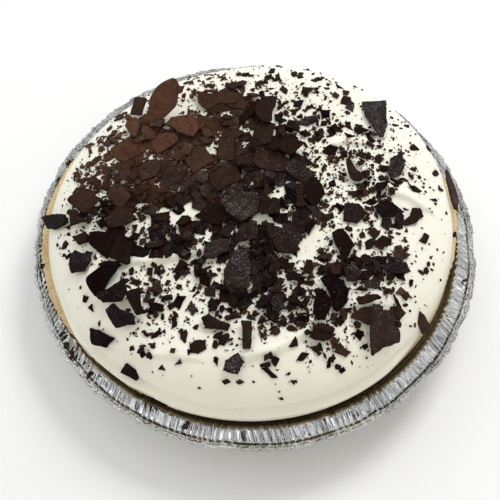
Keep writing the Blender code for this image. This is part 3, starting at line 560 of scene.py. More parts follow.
# Flakes that the photo shows one by one: middle, length, width and turn, in millimetres and degrees
FLAKES = (
    (-82, 42, 8, 6, 20), (-88, 30, 8, 5, 60), (-80, 22, 9, 6, 150), (-94, 17, 7, 5, 10),
    (-70, 18, 8, 6, 40), (-83, 12, 7, 5, 120), (-55, 52, 11, 8, 30), (-32, 73, 9, 6, 100),
    (-42, 66, 8, 5, 60), (-12, 80, 10, 7, 20), (-26, 82, 7, 5, 150), (-48, 78, 6, 5, 40),
    (-12, 50, 9, 6, 80), (-26, 44, 9, 7, 130), (-42, 30, 10, 7, 20), (-84, -5, 6, 5, 30),
    (-54, -4, 9, 8, 70), (-36, -12, 10, 8, 20), (-44, 0, 8, 6, 100), (-50, -26, 11, 6, 10),
    (-38, -24, 11, 8, 160), (-36, -38, 13, 8, 25), (-98, -22, 6, 4, 60), (-84, -52, 5, 4, 30),
    (-80, -57, 6, 4, 110), (-47, -49, 8, 7, 60), (-52, -54, 7, 5, 90), (-47, -60, 10, 6, 165),
    (-36, -57, 9, 8, 40), (-30, -60, 8, 6, 95), (-38, -67, 9, 5, 80), (-33, -74, 8, 4, 90),
    (-46, -73, 7, 4, 20), (-52, -82, 5, 4, 60), (-43, -88, 5, 4, 10), (-35, -86, 5, 4, 80),
    (-26, -80, 9, 7, 30), (-4, -73, 14, 7, 88), (-14, -76, 7, 5, 60), (-21, -51, 9, 7, 80),
    (-10, -57, 9, 6, 100), (5, -58, 12, 5, 45), (12, -59, 7, 6, 20), (19, -57, 7, 5, 150),
    (-8, -64, 7, 6, 40), (23, -67, 10, 6, 20), (8, -65, 6, 5, 110), (19, -78, 7, 6, 30),
    (8, -84, 6, 4, 160), (33, -71, 13, 6, 170), (31, -79, 6, 5, 60), (41, -66, 6, 5, 40),
    (36, -85, 6, 3, 65), (58, -47, 10, 8, 30), (69, -61, 8, 7, 45), (69, -55, 9, 2, 125),
    (67, -43, 6, 5, 60), (55, -35, 7, 6, 100), (63, -34, 9, 8, 30), (73, -38, 9, 7, 150),
    (64, -25, 9, 6, 20), (44, -34, 8, 6, 60), (35, -33, 9, 6, 10), (27, -38, 9, 6, 100),
    (20, -44, 9, 7, 40), (8, -47, 9, 7, 120), (28, -17, 8, 6, 70), (36, -10, 9, 6, 15),
    (44, -4, 7, 6, 120), (60, -19, 8, 6, 60), (67, -13, 9, 6, 85), (74, -11, 10, 6, 95),
    (83, -6, 9, 8, 30), (54, 5, 9, 8, 150), (66, 9, 10, 6, 20), (41, 12, 7, 5, 50), (84, 8, 7, 5, 170),
    (98, 24, 7, 4, 40), (87, 38, 7, 5, 0), (97, 44, 6, 4, 70), (66, 28, 6, 5, 110), (58, 30, 8, 5, 160),
    (41, 34, 10, 7, 25), (35, 44, 10, 6, 70), (44, 48, 7, 5, 100), (29, 54, 13, 6, 20),
    (39, 60, 8, 6, 85), (51, 69, 8, 7, 60), (58, 47, 9, 5, 10), (63, 41, 6, 4, 130), (24, 68, 7, 6, 40),
    (29, 78, 9, 6, 15), (16, 79, 8, 6, 80), (12, 88, 11, 5, 95), (2, 84, 8, 5, 30), (-6, 92, 6, 4, 0),
    (22, 92, 6, 4, 60), (36, 88, 6, 4, 20), (48, 82, 6, 4, 120), (62, 44, 5, 4, 60), (-60, 8, 9, 7, 30),
    (-30, 2, 9, 7, 130), (-58, -46, 7, 5, 30), (-52, -40, 6, 4, 100), (86, -20, 7, 5, 70),
    (94, 4, 6, 4, 20), (-78, 63, 9, 3, 10), (-64, 42, 8, 6, 80), (-45, 20, 9, 8, 50), (-88, 46, 5, 3, 60),
    (-92, 38, 5, 3, 110), (-37, 34, 10, 8, 60), (-30, 24, 9, 8, 150), (-22, 62, 12, 8, 20),
    (-14, 72, 10, 7, 160), (-8, 84, 6, 4, 30), (-71, -36, 8, 6, 30), (-76, -22, 7, 5, 120),
    (-61, -20, 8, 5, 40), (-95, -28, 5, 4, 10), (-68, -39, 6, 4, 60), (-58, -79, 4, 3, 30),
    (-49, -83, 5, 3, 100), (-53, -81, 5, 3, 10), (-17, 8, 10, 8, 20), (-27, 6, 9, 7, 110),
    (-29, -15, 7, 5, 60), (-15, -12, 7, 6, 20), (24, 2, 16, 7, 100), (31, -7, 11, 7, 160),
    (24, -3, 6, 5, 40), (5, 6, 10, 9, 60), (8, 15, 9, 7, 120), (6, -28, 15, 7, 120), (0, 35, 12, 8, 80),
    (17, 42, 11, 10, 30), (10, 33, 10, 8, 150), (18, 46, 8, 6, 60), (13, 57, 8, 7, 20), (7, 89, 7, 4, 40),
    (35, 76, 4, 3, 10), (85, 56, 4, 3, 30), (54, -43, 8, 6, 20), (45, -55, 12, 8, 80),
    (38, -50, 8, 6, 150), (69, -67, 6, 4, 30), (50, -72, 6, 5, 80), (53, -77, 4, 3, 20),
    (37, -84, 5, 3, 60), (27, -75, 5, 3, 30), (10, -86, 6, 4, 70), (6, -88, 6, 3, 10),
    (-17, -86, 5, 3, 100), (-24, -66, 7, 6, 50), (-16, -74, 6, 4, 20), (-30, -82, 4, 3, 60),
    (1, -50, 8, 6, 60), (-24, -46, 8, 6, 120), (-12, -50, 7, 5, 30), (14, -68, 6, 3, 150),
    (0, -64, 6, 4, 80), (53, 65, 9, 7, 90), (80, -10, 11, 5, 20), (-113, -25, 6, 4, 95),
    (-47, -98, 12, 3, 155), (108, -6, 5, 4, 30), (42, -88, 4, 3, 20), (-79, 66, 8, 3, 170),
    (9, 95, 6, 5, 60),
)

# Larger flakes with their own outline: how brown, how bloomed, then the corners
OWN_OUTLINES = (
    (0.0, 0.05, ((-65.0, -85.5), (-58.5, -82.0), (-55.2, -86.7), (-55.8, -91.0), (-58.0, -92.0))),
    (0.0, 0.3, ((61.8, -38.2), (67.3, -35.5), (72.9, -36.7), (72.1, -42.5), (65.4, -42.5))),
    (0.45, 0.1, ((76.5, -56.2), (81.0, -56.4), (89.6, -58.6), (92.0, -63.0), (88.0, -65.0), (80.0, -62.0))),
    (1.0, 0.1, ((68.4, -51.7), (71.1, -47.8), (78.2, -52.6))),
    (0.1, 0.55, ((43.1, -40.6), (47.9, -37.4), (52.3, -41.3), (50.8, -46.1), (45.5, -47.0))),
    (0.35, 0.1, ((37.9, -80.9), (40.5, -75.9), (43.7, -79.2), (46.4, -80.1), (43.7, -82.9))),
    (0.1, 0.1, ((20.1, -85.5), (22.8, -81.6), (26.4, -82.3), (22.9, -85.9))),
    (0.1, 0.1, ((26.4, -78.8), (31.5, -78.3), (30.8, -83.4))),
    (0.0, 0.0, ((3.6, -89.0), (6.7, -88.5), (11.7, -93.2), (8.6, -93.4))),
    (0.0, 0.0, ((40.0, -89.2), (42.2, -86.3), (43.9, -88.2))),
    (0.1, 0.6, ((8.2, -59.4), (12.1, -56.1), (15.3, -59.9), (12.7, -63.4), (9.1, -62.9))),
    (0.2, 0.1, ((65.1, -58.8), (69.4, -57.3), (73.8, -60.5), (69.9, -64.6), (64.7, -63.1))),
)

# The bed of flakes under the shards: its outline, and gaps where cream shows, as middle and radius
BED = (
    (-71, 30), (-70, 41), (-67, 53), (-66, 63), (-51, 52), (-37, 55), (-29, 72), (-12, 76), (-3, 66),
    (3, 56), (14, 50), (22, 44), (28, 26), (31, 13), (30, 2), (28, -9), (22, -18), (22, -30), (10, -35),
    (6, -54), (-7, -57), (-14, -48), (-16, -37), (-32, -38), (-41, -30), (-52, -32), (-65, -28),
    (-80, -25), (-75, -14), (-80, -2), (-75, 8),
)
BED_GAPS = (
    (-23, 36, 2.5), (-34, -7, 4.0), (3, -11, 3.0), (13, 4, 3.0), (24, 3, 1.0), (-23, -22, 3.0),
    (-29, -32, 2.5), (-22, -38, 2.5), (14, -33, 2.5), (12, -15, 2.0), (18, -5, 1.5), (-3, 45, 2.0),
    (-10, 41, 1.5), (7, 45, 2.0), (-51, 25, 1.5), (-58, 28, 3.5), (-52, 11, 3.0), (-44, 9, 1.5),
    (-61, 49, 1.5), (-70, 39, 2.5), (-32, 62, 2.5), (-41, 60, 2.0), (-16, 60, 2.0), (-4, 49, 3.0),
    (-79, 6, 3.0), (-63, -16, 3.5), (-40, -11, 2.5), (-73, 17, 2.0), (-84, 22, 2.0), (-85, 10, 1.5),
    (19, -36, 2.0), (-7, -35, 1.5), (-4, -51, 2.0), (0, 40, 1.5), (24, 33, 1.5), (-16, 27, 1.0),
    (-57, -4, 4.0), (-55, -22, 4.0), (-46, -7, 3.5), (-58, -12, 4.0),
)
BED_PITCH = 6.2
BED_LENGTH = (9.0, 17.0)

# Heaps where flakes lie thick: middle, reach, how many flakes, and the length of the longest ones
HEAPS = (
    (-47, 32, 30, 16, 15), (-14, 24, 30, 12, 14), (10, 30, 24, 9, 13), (-10, -14, 26, 8, 12),
    (-26, 44, 22, 8, 13), (-82, 28, 20, 26, 7), (-80, 6, 18, 16, 8), (-62, 40, 26, 20, 9),
    (-34, 38, 34, 18, 10), (10, 34, 30, 14, 10), (-24, 14, 30, 12, 10), (-66, -10, 28, 24, 9),
    (-14, -14, 34, 14, 10), (2, -38, 28, 22, 9), (-40, -44, 24, 16, 8), (48, -42, 26, 18, 9),
    (62, 0, 24, 8, 9), (26, 60, 30, 8, 9), (-14, 66, 24, 10, 9), (58, 36, 28, 7, 8), (6, -62, 22, 10, 7),
    (10, -40, 9, 10, 9), (-32, -41, 8, 9, 10), (-33, -24, 6, 7, 9), (52, -40, 8, 6, 9),
    (66, -36, 11, 9, 10), (2, -52, 12, 14, 9), (16, -57, 12, 10, 8), (-12, -56, 10, 10, 8),
    (-80, -4, 6, 6, 7), (47, -41, 8, 5, 10),
)
SHORTEST = 5.0

# Where the fine flakes and crumbs fall: middle, reach and strength; then places that stay nearly bare
DUST = (
    (-62, 30, 34, 1.0), (-28, 34, 38, 1.0), (12, 34, 32, 0.8), (-68, -12, 34, 0.6), (-12, -10, 38, 0.9),
    (4, -50, 30, 1.0), (-44, -52, 28, 0.6), (50, -42, 32, 0.75), (62, 0, 28, 0.45), (28, 66, 30, 0.3),
    (-10, 68, 28, 0.4), (62, 36, 32, 0.35), (-84, 22, 18, 0.8), (14, -64, 20, 0.8), (34, -68, 22, 0.4),
    (84, 20, 18, 0.3), (-30, 84, 22, 0.25), (40, 20, 30, 0.5), (25, -20, 26, 0.6), (-52, 66, 20, 0.5),
)
CLEARINGS = (
    (5, -10, 5), (14, -13, 5), (-33, -6, 6), (13, 8, 6), (27, -24, 8), (24, -32, 6), (-55, -32, 5),
    (-42, -31, 6), (16, -80, 9), (0, -82, 6), (78, 5, 6), (84, 0, 6), (-66, -82, 10), (-70, -46, 4),
    (44, 40, 4), (96, -30, 14), (-96, -50, 14), (-58, -31, 6), (70, 50, 5), (-76, -82, 12), (-43, -9, 5),
    (-26, -20, 4), (-3, 47, 4), (8, 45, 4), (-22, 33, 4), (-29, 54, 4), (-48, 61, 3), (-36, -55, 5),
    (88, -14, 10), (94, 26, 8), (-96, 36, 8), (-46, -7, 4), (-57, -10, 5), (-54, 9, 4),
)
FLAKE_SCALE = 1.05
EDGE_STEP = 1.3
# How deep a flake sinks in, and the share of the ground under it that it clears
SINK = 0.25
CLEARED = 0.93
SCATTER_RADIUS = 105.0
FINE_FLAKES = 1350
CRUMBS = 2900
FLANGE_TOP = 28.8
HIGHEST_HEAP = 5.5
CHOCOLATE_TOP = 73.7


class Ground:
    """Heights in millimetres of what already lies on the pie, on a square grid."""

    CELL = 0.5
    REACH = 116.0

    def __init__(self):
        side = np.arange(-self.REACH, self.REACH + 0.5 * self.CELL, self.CELL)
        self.side = side
        self.x, self.y = np.meshgrid(side, side, indexing="ij")
        across, along = self.x - CREAM_CENTRE[0], self.y - CREAM_CENTRE[1]
        on_crust = np.hypot(across, along) <= crust_edge(np.arctan2(along, across))
        self.height = np.maximum(cream_height(self.x, self.y), np.where(on_crust, CRUST_TOP, FLANGE_TOP))
        self.bare = self.height.copy()
        self.shard = np.zeros(self.x.shape, dtype=bool)

    def under(self, corners):
        """Grid window round an outline, and which of its cells lie inside."""
        last = len(self.side)
        low = np.floor((corners.min(0) + self.REACH) / self.CELL).astype(int)
        high = np.ceil((corners.max(0) + self.REACH) / self.CELL).astype(int)
        low, high = np.clip(low, 0, last - 2), np.clip(high + 1, 2, last)
        area = (slice(low[0], high[0]), slice(low[1], high[1]))
        x, y = self.x[area], self.y[area]
        inside = np.zeros(x.shape, dtype=bool)
        previous = corners[-1]
        for corner in corners:
            crosses = (corner[1] > y) != (previous[1] > y)
            rise = previous[1] - corner[1]
            rise = rise if abs(rise) > 1e-9 else 1e-9
            edge = corner[0] + (previous[0] - corner[0]) * (y - corner[1]) / rise
            inside ^= crosses & (x < edge)
            previous = corner
        return area, inside

    def cell(self, x, y):
        """Grid cell nearest to a place."""
        last = len(self.side) - 1
        i, j = (min(last, max(0, round((value + self.REACH) / self.CELL))) for value in (x, y))
        return i, j

    def at(self, x, y):
        """Height at a place."""
        return float(self.height[self.cell(x, y)])

    def raised(self, x, y):
        """How far a place lies above the bare cream."""
        spot = self.cell(x, y)
        return float(self.height[spot] - self.bare[spot])


def polygon(rng, length, width):
    """Corners of a broken flake: three to six, unevenly spread."""
    count = rng.choice((3, 4, 4, 4, 5, 5, 6))
    first = rng.uniform(0.0, math.tau)
    corners = []
    for index in range(count):
        turn = first + (index + rng.uniform(-0.28, 0.28)) * math.tau / count
        away = rng.uniform(0.75, 1.1)
        corners.append((0.5 * length * away * math.cos(turn), 0.5 * width * away * math.sin(turn)))
    return np.array(corners)


def broken_edge(corners, step, rough, rng, bow=0.06):
    """The outline with each side cut into short steps that wander like a broken edge."""
    points = []
    count = len(corners)
    for index in range(count):
        start, end = corners[index], corners[(index + 1) % count]
        along = end - start
        length = math.hypot(*along)
        if length < 1e-6:
            continue
        side = np.array((along[1], -along[0])) / length
        cuts = max(1, round(length / step))
        belly = rng.uniform(-bow, bow) * length
        for cut in range(cuts):
            share = cut / cuts
            drift = belly * 4.0 * share * (1.0 - share)
            if cut:
                drift += rng.uniform(-rough, rough)
                share += rng.uniform(-0.25, 0.25) / cuts
            points.append(start + along * share + side * drift)
    return np.array(points)


def round_outline(corners, step):
    """A smooth closed curve through the corners."""
    count = len(corners)
    points = []
    for index in range(count):
        before, start = corners[index - 1], corners[index]
        end, after = corners[(index + 1) % count], corners[(index + 2) % count]
        cuts = max(2, round(math.hypot(*(end - start)) / step))
        for cut in range(cuts):
            t = cut / cuts
            a = -0.5 * before + 1.5 * start - 1.5 * end + 0.5 * after
            b = before - 2.5 * start + 2.0 * end - 0.5 * after
            c = 0.5 * (end - before)
            points.append(((a * t + b) * t + c) * t + start)
    return np.array(points)


def plate(outline, thick, rng, rings, rough):
    """Points and faces of a plate on z = 0: broken sides, a worn upper edge and a slightly uneven top."""
    count = len(outline)
    middle = outline.mean(0)
    inward = middle - outline
    reach = np.maximum(np.hypot(inward[:, 0], inward[:, 1]), 1e-6)[:, None]
    noise = np.array([rng.uniform(-1.0, 1.0) for _ in range(count)])[:, None]
    rows = [(outline + inward / reach * np.minimum(0.1 * thick, 0.3 * reach), 0.0)]
    if rough > 0.0:
        rows.append((outline + inward / reach * noise * rough, 0.5 * thick))
    rows.append((outline, 0.86 * thick))
    worn = np.minimum(0.2 * thick, 0.35 * reach)
    rows.append((outline + inward / reach * worn, thick))
    inner = rows[-1][0]
    for ring in range(1, rings + 1):
        share = ring / (rings + 1)
        rows.append((inner + (middle - inner) * share, thick))
    points = [np.column_stack((row, np.full(count, height))) for row, height in rows]
    points.append(np.array([[middle[0], middle[1], thick]]))
    faces = grid_faces(len(rows), count)
    last = (len(rows) - 1) * count
    top = len(rows) * count
    for index in range(count):
        faces.append((last + index, last + (index + 1) % count, top))
    faces.append(tuple(reversed(range(count))))
    return np.concatenate(points), faces


class Scatter:
    """Many plates collected into one mesh, each with its own tone."""

    def __init__(self):
        self.points = []
        self.faces = []
        self.tones = []
        self.total = 0

    def add(self, points, faces, tone):
        self.points.append(points)
        self.faces.extend([tuple(index + self.total for index in face) for face in faces])
        self.tones.append(np.tile(np.array((*tone, 1.0)), (len(points), 1)))
        self.total += len(points)

    def build(self, name, material, slot="chocolate"):
        thing = mesh_object(name, np.concatenate(self.points), self.faces, material, slot)
        thing.data.set_sharp_from_angle(angle=math.radians(35))
        tone = thing.data.attributes.new("tone", "FLOAT_COLOR", "POINT")
        tone.data.foreach_set("color", np.concatenate(self.tones).ravel())
        return thing


def tone_at(x, y, rng, crumb=0.0):
    """How brown, how bloomed and a chance value at a place: brown behind left, partly painted light there,
    charcoal in the middle.
    """
    # Painted light: chocolate is made browner towards the back left, where more light falls; the random
    # part is the chocolate's own tone.
    painted_light_back_left = min(1.0, max(0.0, (12.0 - x) / 55.0)) * min(1.0, max(0.0, (y + 8.0) / 40.0))
    centre = math.exp(-((x + 8.0) ** 2 + (y + 12.0) ** 2) / 42.0 ** 2)
    brown = min(1.0, max(0.0, 0.06 + 0.64 * painted_light_back_left + crumb + rng.uniform(-0.12, 0.2)))
    bloom = max(0.0, 0.02 + 0.12 * centre + rng.uniform(-0.1, 0.1))
    if rng.random() < 0.08 + 0.25 * centre:
        bloom += rng.uniform(0.2, 0.6)
    return brown, bloom, rng.random()


def placed_outline(outline, x, y, turn):
    """An outline turned and moved to a place."""
    cos, sin = math.cos(turn), math.sin(turn)
    return np.column_stack((x + outline[:, 0] * cos - outline[:, 1] * sin,
                            y + outline[:, 0] * sin + outline[:, 1] * cos))


def fitted_plane(across, along, height):
    """Slopes and level of the plane nearest to some heights."""
    table = np.column_stack((across, along, np.ones(len(across))))
    return np.linalg.lstsq(table, height, rcond=None)[0]


def plate_axes(slope, cos, sin):
    """Axes of a plate on a slope, the first one along its turn."""
    normal = Vector((-slope[0], -slope[1], 1.0)).normalized()
    first = Vector((cos, sin, slope[0] * cos + slope[1] * sin)).normalized()
    return np.array((first, normal.cross(first), normal))


def settle(ground, outline, x, y, turn, lift, thick):
    """Lay a plate on what is there, and return its axes and its place."""
    cos, sin = math.cos(turn), math.sin(turn)
    area, inside = ground.under(placed_outline(outline, x, y, turn))
    if inside.sum() < 3:
        inside = np.ones(inside.shape, dtype=bool)
    across, along = ground.x[area][inside] - x, ground.y[area][inside] - y
    height = ground.height[area][inside]
    fit = fitted_plane(across, along, height)
    slope = np.clip(fit[:2], -1.3, 1.3) + math.tan(lift) * np.array((cos, sin))
    rise = float(np.quantile(height - across * slope[0] - along * slope[1], CLEARED)) - SINK
    axes = plate_axes(slope, cos, sin)
    upper = rise + across * slope[0] + along * slope[1] + thick / axes[2][2]
    ground.height[area][inside] = np.maximum(height, upper)
    return axes, np.array((x, y, rise))


def shard_frame(node):
    """A solid plate's corners in its own plane, its thickness, axes and lower middle, in millimetres."""
    corners = np.unique(np.round(np.array([v.co[:] for v in node.data.vertices]) / MM, 4), axis=0)
    largest = max(node.data.polygons, key=lambda face: face.area * (1.0 if face.normal.z > 0.0 else 0.0))
    normal = np.array(largest.normal)
    level = corners @ normal
    middle_level = 0.5 * (level.min() + level.max())
    lower = corners[level < middle_level]
    middle = lower.mean(0)
    first = lower[np.argmax(np.linalg.norm(lower - middle, axis=1))] - middle
    first = first / np.linalg.norm(first)
    second = np.cross(normal, first)
    flat = np.column_stack(((lower - middle) @ first, (lower - middle) @ second))
    flat = flat[np.argsort(np.arctan2(flat[:, 1], flat[:, 0]))]
    return flat, level.max() - level.min(), np.array((first, second, normal)), middle


def make_shards(ground, material):
    """Each large shard of the solid model again, with broken edges and an uneven face."""
    rng = random.Random(SEED + 1)
    for number, (brown, bloom) in SHARD_TONES.items():
        name = f"shard_{number:02d}"
        corners, thick, axes, middle = shard_frame(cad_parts[name])
        if number in SMOOTH_SHARDS:
            outline = round_outline(corners, 1.2)
        else:
            outline = broken_edge(corners, 1.1, 0.22, rng, 0.03)
        points, faces = plate(outline, thick, rng, 4, 0.25)
        radius = 0.5 * np.hypot(*np.ptp(outline, axis=0))
        curl = rng.uniform(-0.3, 0.3)
        top = points[:, 2] > 0.9 * thick
        rough = 0.10 * lattice(points[:, 0] + 20 * number, points[:, 1], 2.0, 31) * (0.4 + bloom)
        points[:, 2] += np.where(top, rough - 0.1, 0.0)
        points[:, 2] += curl * (points[:, 0] / radius) ** 2 - (curl if curl > 0.0 else 0.0) * 0.5
        placed = points @ axes + middle
        placed[:, 2] = np.minimum(placed[:, 2], CHOCOLATE_TOP)
        upper = corners @ axes[:2] + middle + thick * axes[2]
        area, inside = ground.under(upper[:, :2])
        plane = middle + thick * axes[2]
        slant = (ground.x[area] - plane[0]) * axes[2][0] + (ground.y[area] - plane[1]) * axes[2][1]
        height = plane[2] - slant / axes[2][2]
        ground.height[area] = np.where(inside, np.maximum(ground.height[area], height), ground.height[area])
        ground.shard[area] |= inside
        piece = Scatter()
        piece.add(placed, faces, (brown, bloom, 0.0))
        shard = piece.build(f"chocolate_{number:02d}", material)
        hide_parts(name)


def covers_shard(ground, corners, x, y, turn):
    """Share of an outline that lies over the large shards."""
    area, inside = ground.under(placed_outline(corners, x, y, turn))
    return float(ground.shard[area][inside].mean()) if inside.any() else 0.0


def lay_flake(ground, pile, rng, x, y, length, width, turn, lift_most, fine, most_cover=0.15):
    """Add one flake to the pile at a place."""
    corners = polygon(rng, length, width)
    thick = rng.uniform(0.7, 1.3) if length > 4.5 else rng.uniform(0.45, 0.9)
    outline = corners if fine else broken_edge(corners, EDGE_STEP, 0.2, rng)
    if covers_shard(ground, corners, x, y, turn) > most_cover or ground.raised(x, y) > HIGHEST_HEAP:
        return
    lift = math.radians(rng.uniform(0.0, lift_most))
    axes, place = settle(ground, corners, x, y, turn, lift, thick)
    points, faces = plate(outline, thick, rng, 0 if fine else 1, 0.0 if fine else 0.15)
    pile.add(points @ axes + place, faces, tone_at(x, y, rng, 0.22 if fine else 0.0))


def lay_in_bed(ground, pile, rng, x, y):
    """Add a flake that lies on the bare cream, under the shards and clear of the bed's gaps."""
    length = rng.uniform(*BED_LENGTH)
    corners = polygon(rng, length, length * rng.uniform(0.5, 0.9))
    turn = rng.uniform(0.0, math.tau)
    outline = broken_edge(corners, EDGE_STEP, 0.2, rng)
    lean = math.tan(math.radians(rng.uniform(0.0, 6.0)))
    rise = rng.uniform(0.5, 1.5)
    thick = rng.uniform(0.8, 1.2)
    cos, sin = math.cos(turn), math.sin(turn)
    spun = placed_outline(corners, 0.0, 0.0, turn)
    for gap_x, gap_y, radius in BED_GAPS:
        away = math.hypot(x - gap_x, y - gap_y)
        reach = radius + 0.4 * length
        if away < reach:
            push = (reach - away) / max(away, 0.5)
            x, y = x + (x - gap_x) * push, y + (y - gap_y) * push
    area, inside = ground.under(spun + np.array((x, y)))
    if inside.sum() < 8:
        return
    across, along, bare = ground.x[area][inside] - x, ground.y[area][inside] - y, ground.bare[area][inside]
    slope_x, slope_y, level = fitted_plane(across, along, bare)
    slope_x, slope_y = slope_x + lean * cos, slope_y + lean * sin
    upper = level + rise + across * slope_x + along * slope_y
    covered = ground.shard[area][inside]
    if covered.any():
        upper_most = (upper - ground.height[area][inside])[covered].max() + 0.3
        if upper_most > rise + 0.2:
            return
        upper -= max(0.0, upper_most)
        level -= max(0.0, upper_most)
    axes = plate_axes((slope_x, slope_y), cos, sin)
    points, faces = plate(outline, thick, rng, 1, 0.15)
    place = np.array((x, y, level + rise)) - thick * axes[2]
    height = ground.height[area][inside]
    ground.height[area][inside] = np.maximum(height, upper)
    # Painted shade: flakes in the bed under the shards are made a little less brown, so darker.
    pile.add(points @ axes + place, faces, tone_at(x, y, rng, -0.06))


def make_bed(ground, material):
    """Flakes lying close together on the cream all over the bed, so that it shows only in gaps."""
    rng = random.Random(SEED + 6)
    pile = Scatter()
    low, high = np.array(BED).min(0), np.array(BED).max(0)
    x = low[0]
    while x < high[0]:
        y = low[1]
        while y < high[1]:
            spot = (x + rng.uniform(-0.45, 0.45) * BED_PITCH, y + rng.uniform(-0.45, 0.45) * BED_PITCH)
            if in_outline(*spot, BED):
                lay_in_bed(ground, pile, rng, *spot)
            y += BED_PITCH
        x += BED_PITCH
    pile.build("bed_flakes", material)


def in_outline(x, y, outline):
    """Whether a place lies inside an outline."""
    inside = False
    previous = outline[-1]
    for corner in outline:
        if (corner[1] > y) != (previous[1] > y):
            edge = corner[0] + (previous[0] - corner[0]) * (y - corner[1]) / (previous[1] - corner[1])
            inside ^= x < edge
        previous = corner
    return inside


def strength(x, y):
    """How much fine chocolate lies at a place, from 0 to 1."""
    total = 0.0
    for spot_x, spot_y, reach, amount in DUST:
        total += amount * math.exp(-2.0 * ((x - spot_x) ** 2 + (y - spot_y) ** 2) / reach ** 2)
    for spot_x, spot_y, reach in CLEARINGS:
        if (x - spot_x) ** 2 + (y - spot_y) ** 2 < reach ** 2:
            total *= 0.12
    return min(1.0, total + 0.02)


def scattered_places(ground, rng, count):
    """Places drawn where the dust is thick."""
    found = 0
    while found < count:
        x, y = rng.uniform(-105, 105), rng.uniform(-105, 108)
        if math.hypot(x - CREAM_CENTRE[0], y - CREAM_CENTRE[1]) > SCATTER_RADIUS:
            continue
        covered = ground.raised(x, y) > 0.7
        if rng.random() < strength(x, y) * (0.12 if covered else 1.0):
            found += 1
            yield x, y


def own_way(outline):
    """1 for an outline that runs anticlockwise, -1 for one that runs clockwise."""
    after = np.roll(outline, -1, axis=0)
    area = (outline[:, 0] * after[:, 1] - outline[:, 1] * after[:, 0]).sum()
    return 1 if area > 0.0 else -1


def make_flakes(ground, material):
    """Flakes in the heaps, the ones that the photo shows one by one, then the fine ones."""
    rng = random.Random(SEED + 2)
    pile = Scatter()
    for x, y, reach, count, longest in HEAPS:
        for _ in range(count):
            turn, away = rng.uniform(0.0, math.tau), reach * math.sqrt(rng.random())
            place = (x + away * math.cos(turn), y + away * math.sin(turn))
            length = rng.uniform(SHORTEST if longest < 12 else 0.6 * longest, longest)
            width = length * rng.uniform(0.5, 0.95)
            if strength(*place) < 0.2:
                continue
            lay_flake(ground, pile, rng, *place, length, width, rng.uniform(0.0, math.tau), 16.0, False)
    for x, y, length, width, turn in FLAKES:
        length, width = length * FLAKE_SCALE, width * FLAKE_SCALE
        lay_flake(ground, pile, rng, x, y, length, width, math.radians(turn), 10.0, False, 0.6)
    for brown, bloom, corners in OWN_OUTLINES:
        middle = np.array(corners).mean(0)
        outline = np.array(corners) - middle
        axes, place = settle(ground, outline, *middle, 0.0, 0.0, 1.0)
        edge = broken_edge(outline[::own_way(outline)], EDGE_STEP, 0.15, rng, 0.03)
        points, faces = plate(edge, 1.0, rng, 1, 0.15)
        pile.add(points @ axes + place, faces, (brown, bloom, rng.random()))
    pile.build("flakes", material)
    small = Scatter()
    for x, y in scattered_places(ground, rng, FINE_FLAKES):
        length = 1.8 + 3.6 * rng.random() ** 1.7
        width = length * rng.uniform(0.35, 0.9)
        lay_flake(ground, small, rng, x, y, length, width, rng.uniform(0.0, math.tau), 18.0, True)
    small.build("fine_flakes", material)


def chip(rng, size):
    """A tiny crumb: a skewed four-cornered chip."""
    corners = polygon(rng, size, size * rng.uniform(0.5, 0.9))[:4]
    high = size * rng.uniform(0.25, 0.5)
    count = len(corners)
    shift = np.array((rng.uniform(-0.15, 0.15), rng.uniform(-0.15, 0.15))) * size
    points = np.concatenate((np.column_stack((corners, np.zeros(count))),
                             np.column_stack((corners * 0.7 + shift, np.full(count, high)))))
    faces = grid_faces(2, count)
    faces.append(tuple(range(count, 2 * count)))
    faces.append(tuple(reversed(range(count))))
    return points, faces


def add_crumb(pile, rng, x, y, height, size, tone):
    """Add one crumb, turned at random, resting at a height."""
    points, faces = chip(rng, size)
    turn, tilt = rng.uniform(0.0, math.tau), rng.uniform(-0.4, 0.4)
    spin = np.array((Matrix.Rotation(turn, 3, "Z") @ Matrix.Rotation(tilt, 3, "X")).transposed())
    points = points @ spin
    points[:, 2] -= points[:, 2].min() + 0.08 * size
    pile.add(points + np.array((x, y, height)), faces, tone)


def make_crumbs(ground, material):
    """Crumbs of 0.5 to 2 mm wherever the flakes lie."""
    rng = random.Random(SEED + 3)
    pile = Scatter()
    for x, y in scattered_places(ground, rng, CRUMBS):
        size = 0.7 + 1.6 * rng.random() ** 2.4
        brown, bloom, chance = tone_at(x, y, rng, 0.55)
        height = min(ground.at(x, y), CHOCOLATE_TOP - size)
        add_crumb(pile, rng, x, y, height, size, (brown, 0.3 * bloom, chance))
    pile.build("chocolate_crumbs", material)


def make_chocolate(material):
    """All the chocolate on the cream."""
    ground = Ground()
    make_shards(ground, material)
    make_bed(ground, material)
    make_flakes(ground, material)
    make_crumbs(ground, material)


# Crumbs that fell on the flange and on the pastry's rim: place and size
FLANGE_CHOCOLATE = (
    (-115.2, 1.6, 2.6), (-115.4, -16.2, 2.2), (-113.6, -28.6, 2.4), (-111.6, -32.6, 2.2),
    (-98.4, -63.4, 3.4), (-95.6, -69.0, 3.8), (-91.6, -74.2, 3.8), (-82.3, -83.7, 3.4),
    (-31.8, -109.3, 3.4), (-108.2, 45.0, 5.0), (-112.3, 32.0, 5.0), (11.6, 115.6, 4.6),
    (112.9, -29.0, 2.8), (113.8, -33.1, 2.4), (-88.6, -79.2, 2.0), (-84.8, -77.7, 1.8),
    (-99.5, -60.0, 2.2), (-76.2, -84.2, 1.8), (-34.6, -109.8, 1.6),
)
FLANGE_PASTRY = (
    (117.0, 19.9, 1.6), (118.0, -10.1, 1.6), (113.8, -33.3, 2.2), (44.7, -109.8, 1.8),
    (25.2, -109.6, 1.6), (23.6, -115.6, 1.8), (103.1, -50.3, 1.6), (-22.0, -114.0, 1.6),
    (116.0, 34.0, 1.4), (112.0, -40.0, 1.4),
)


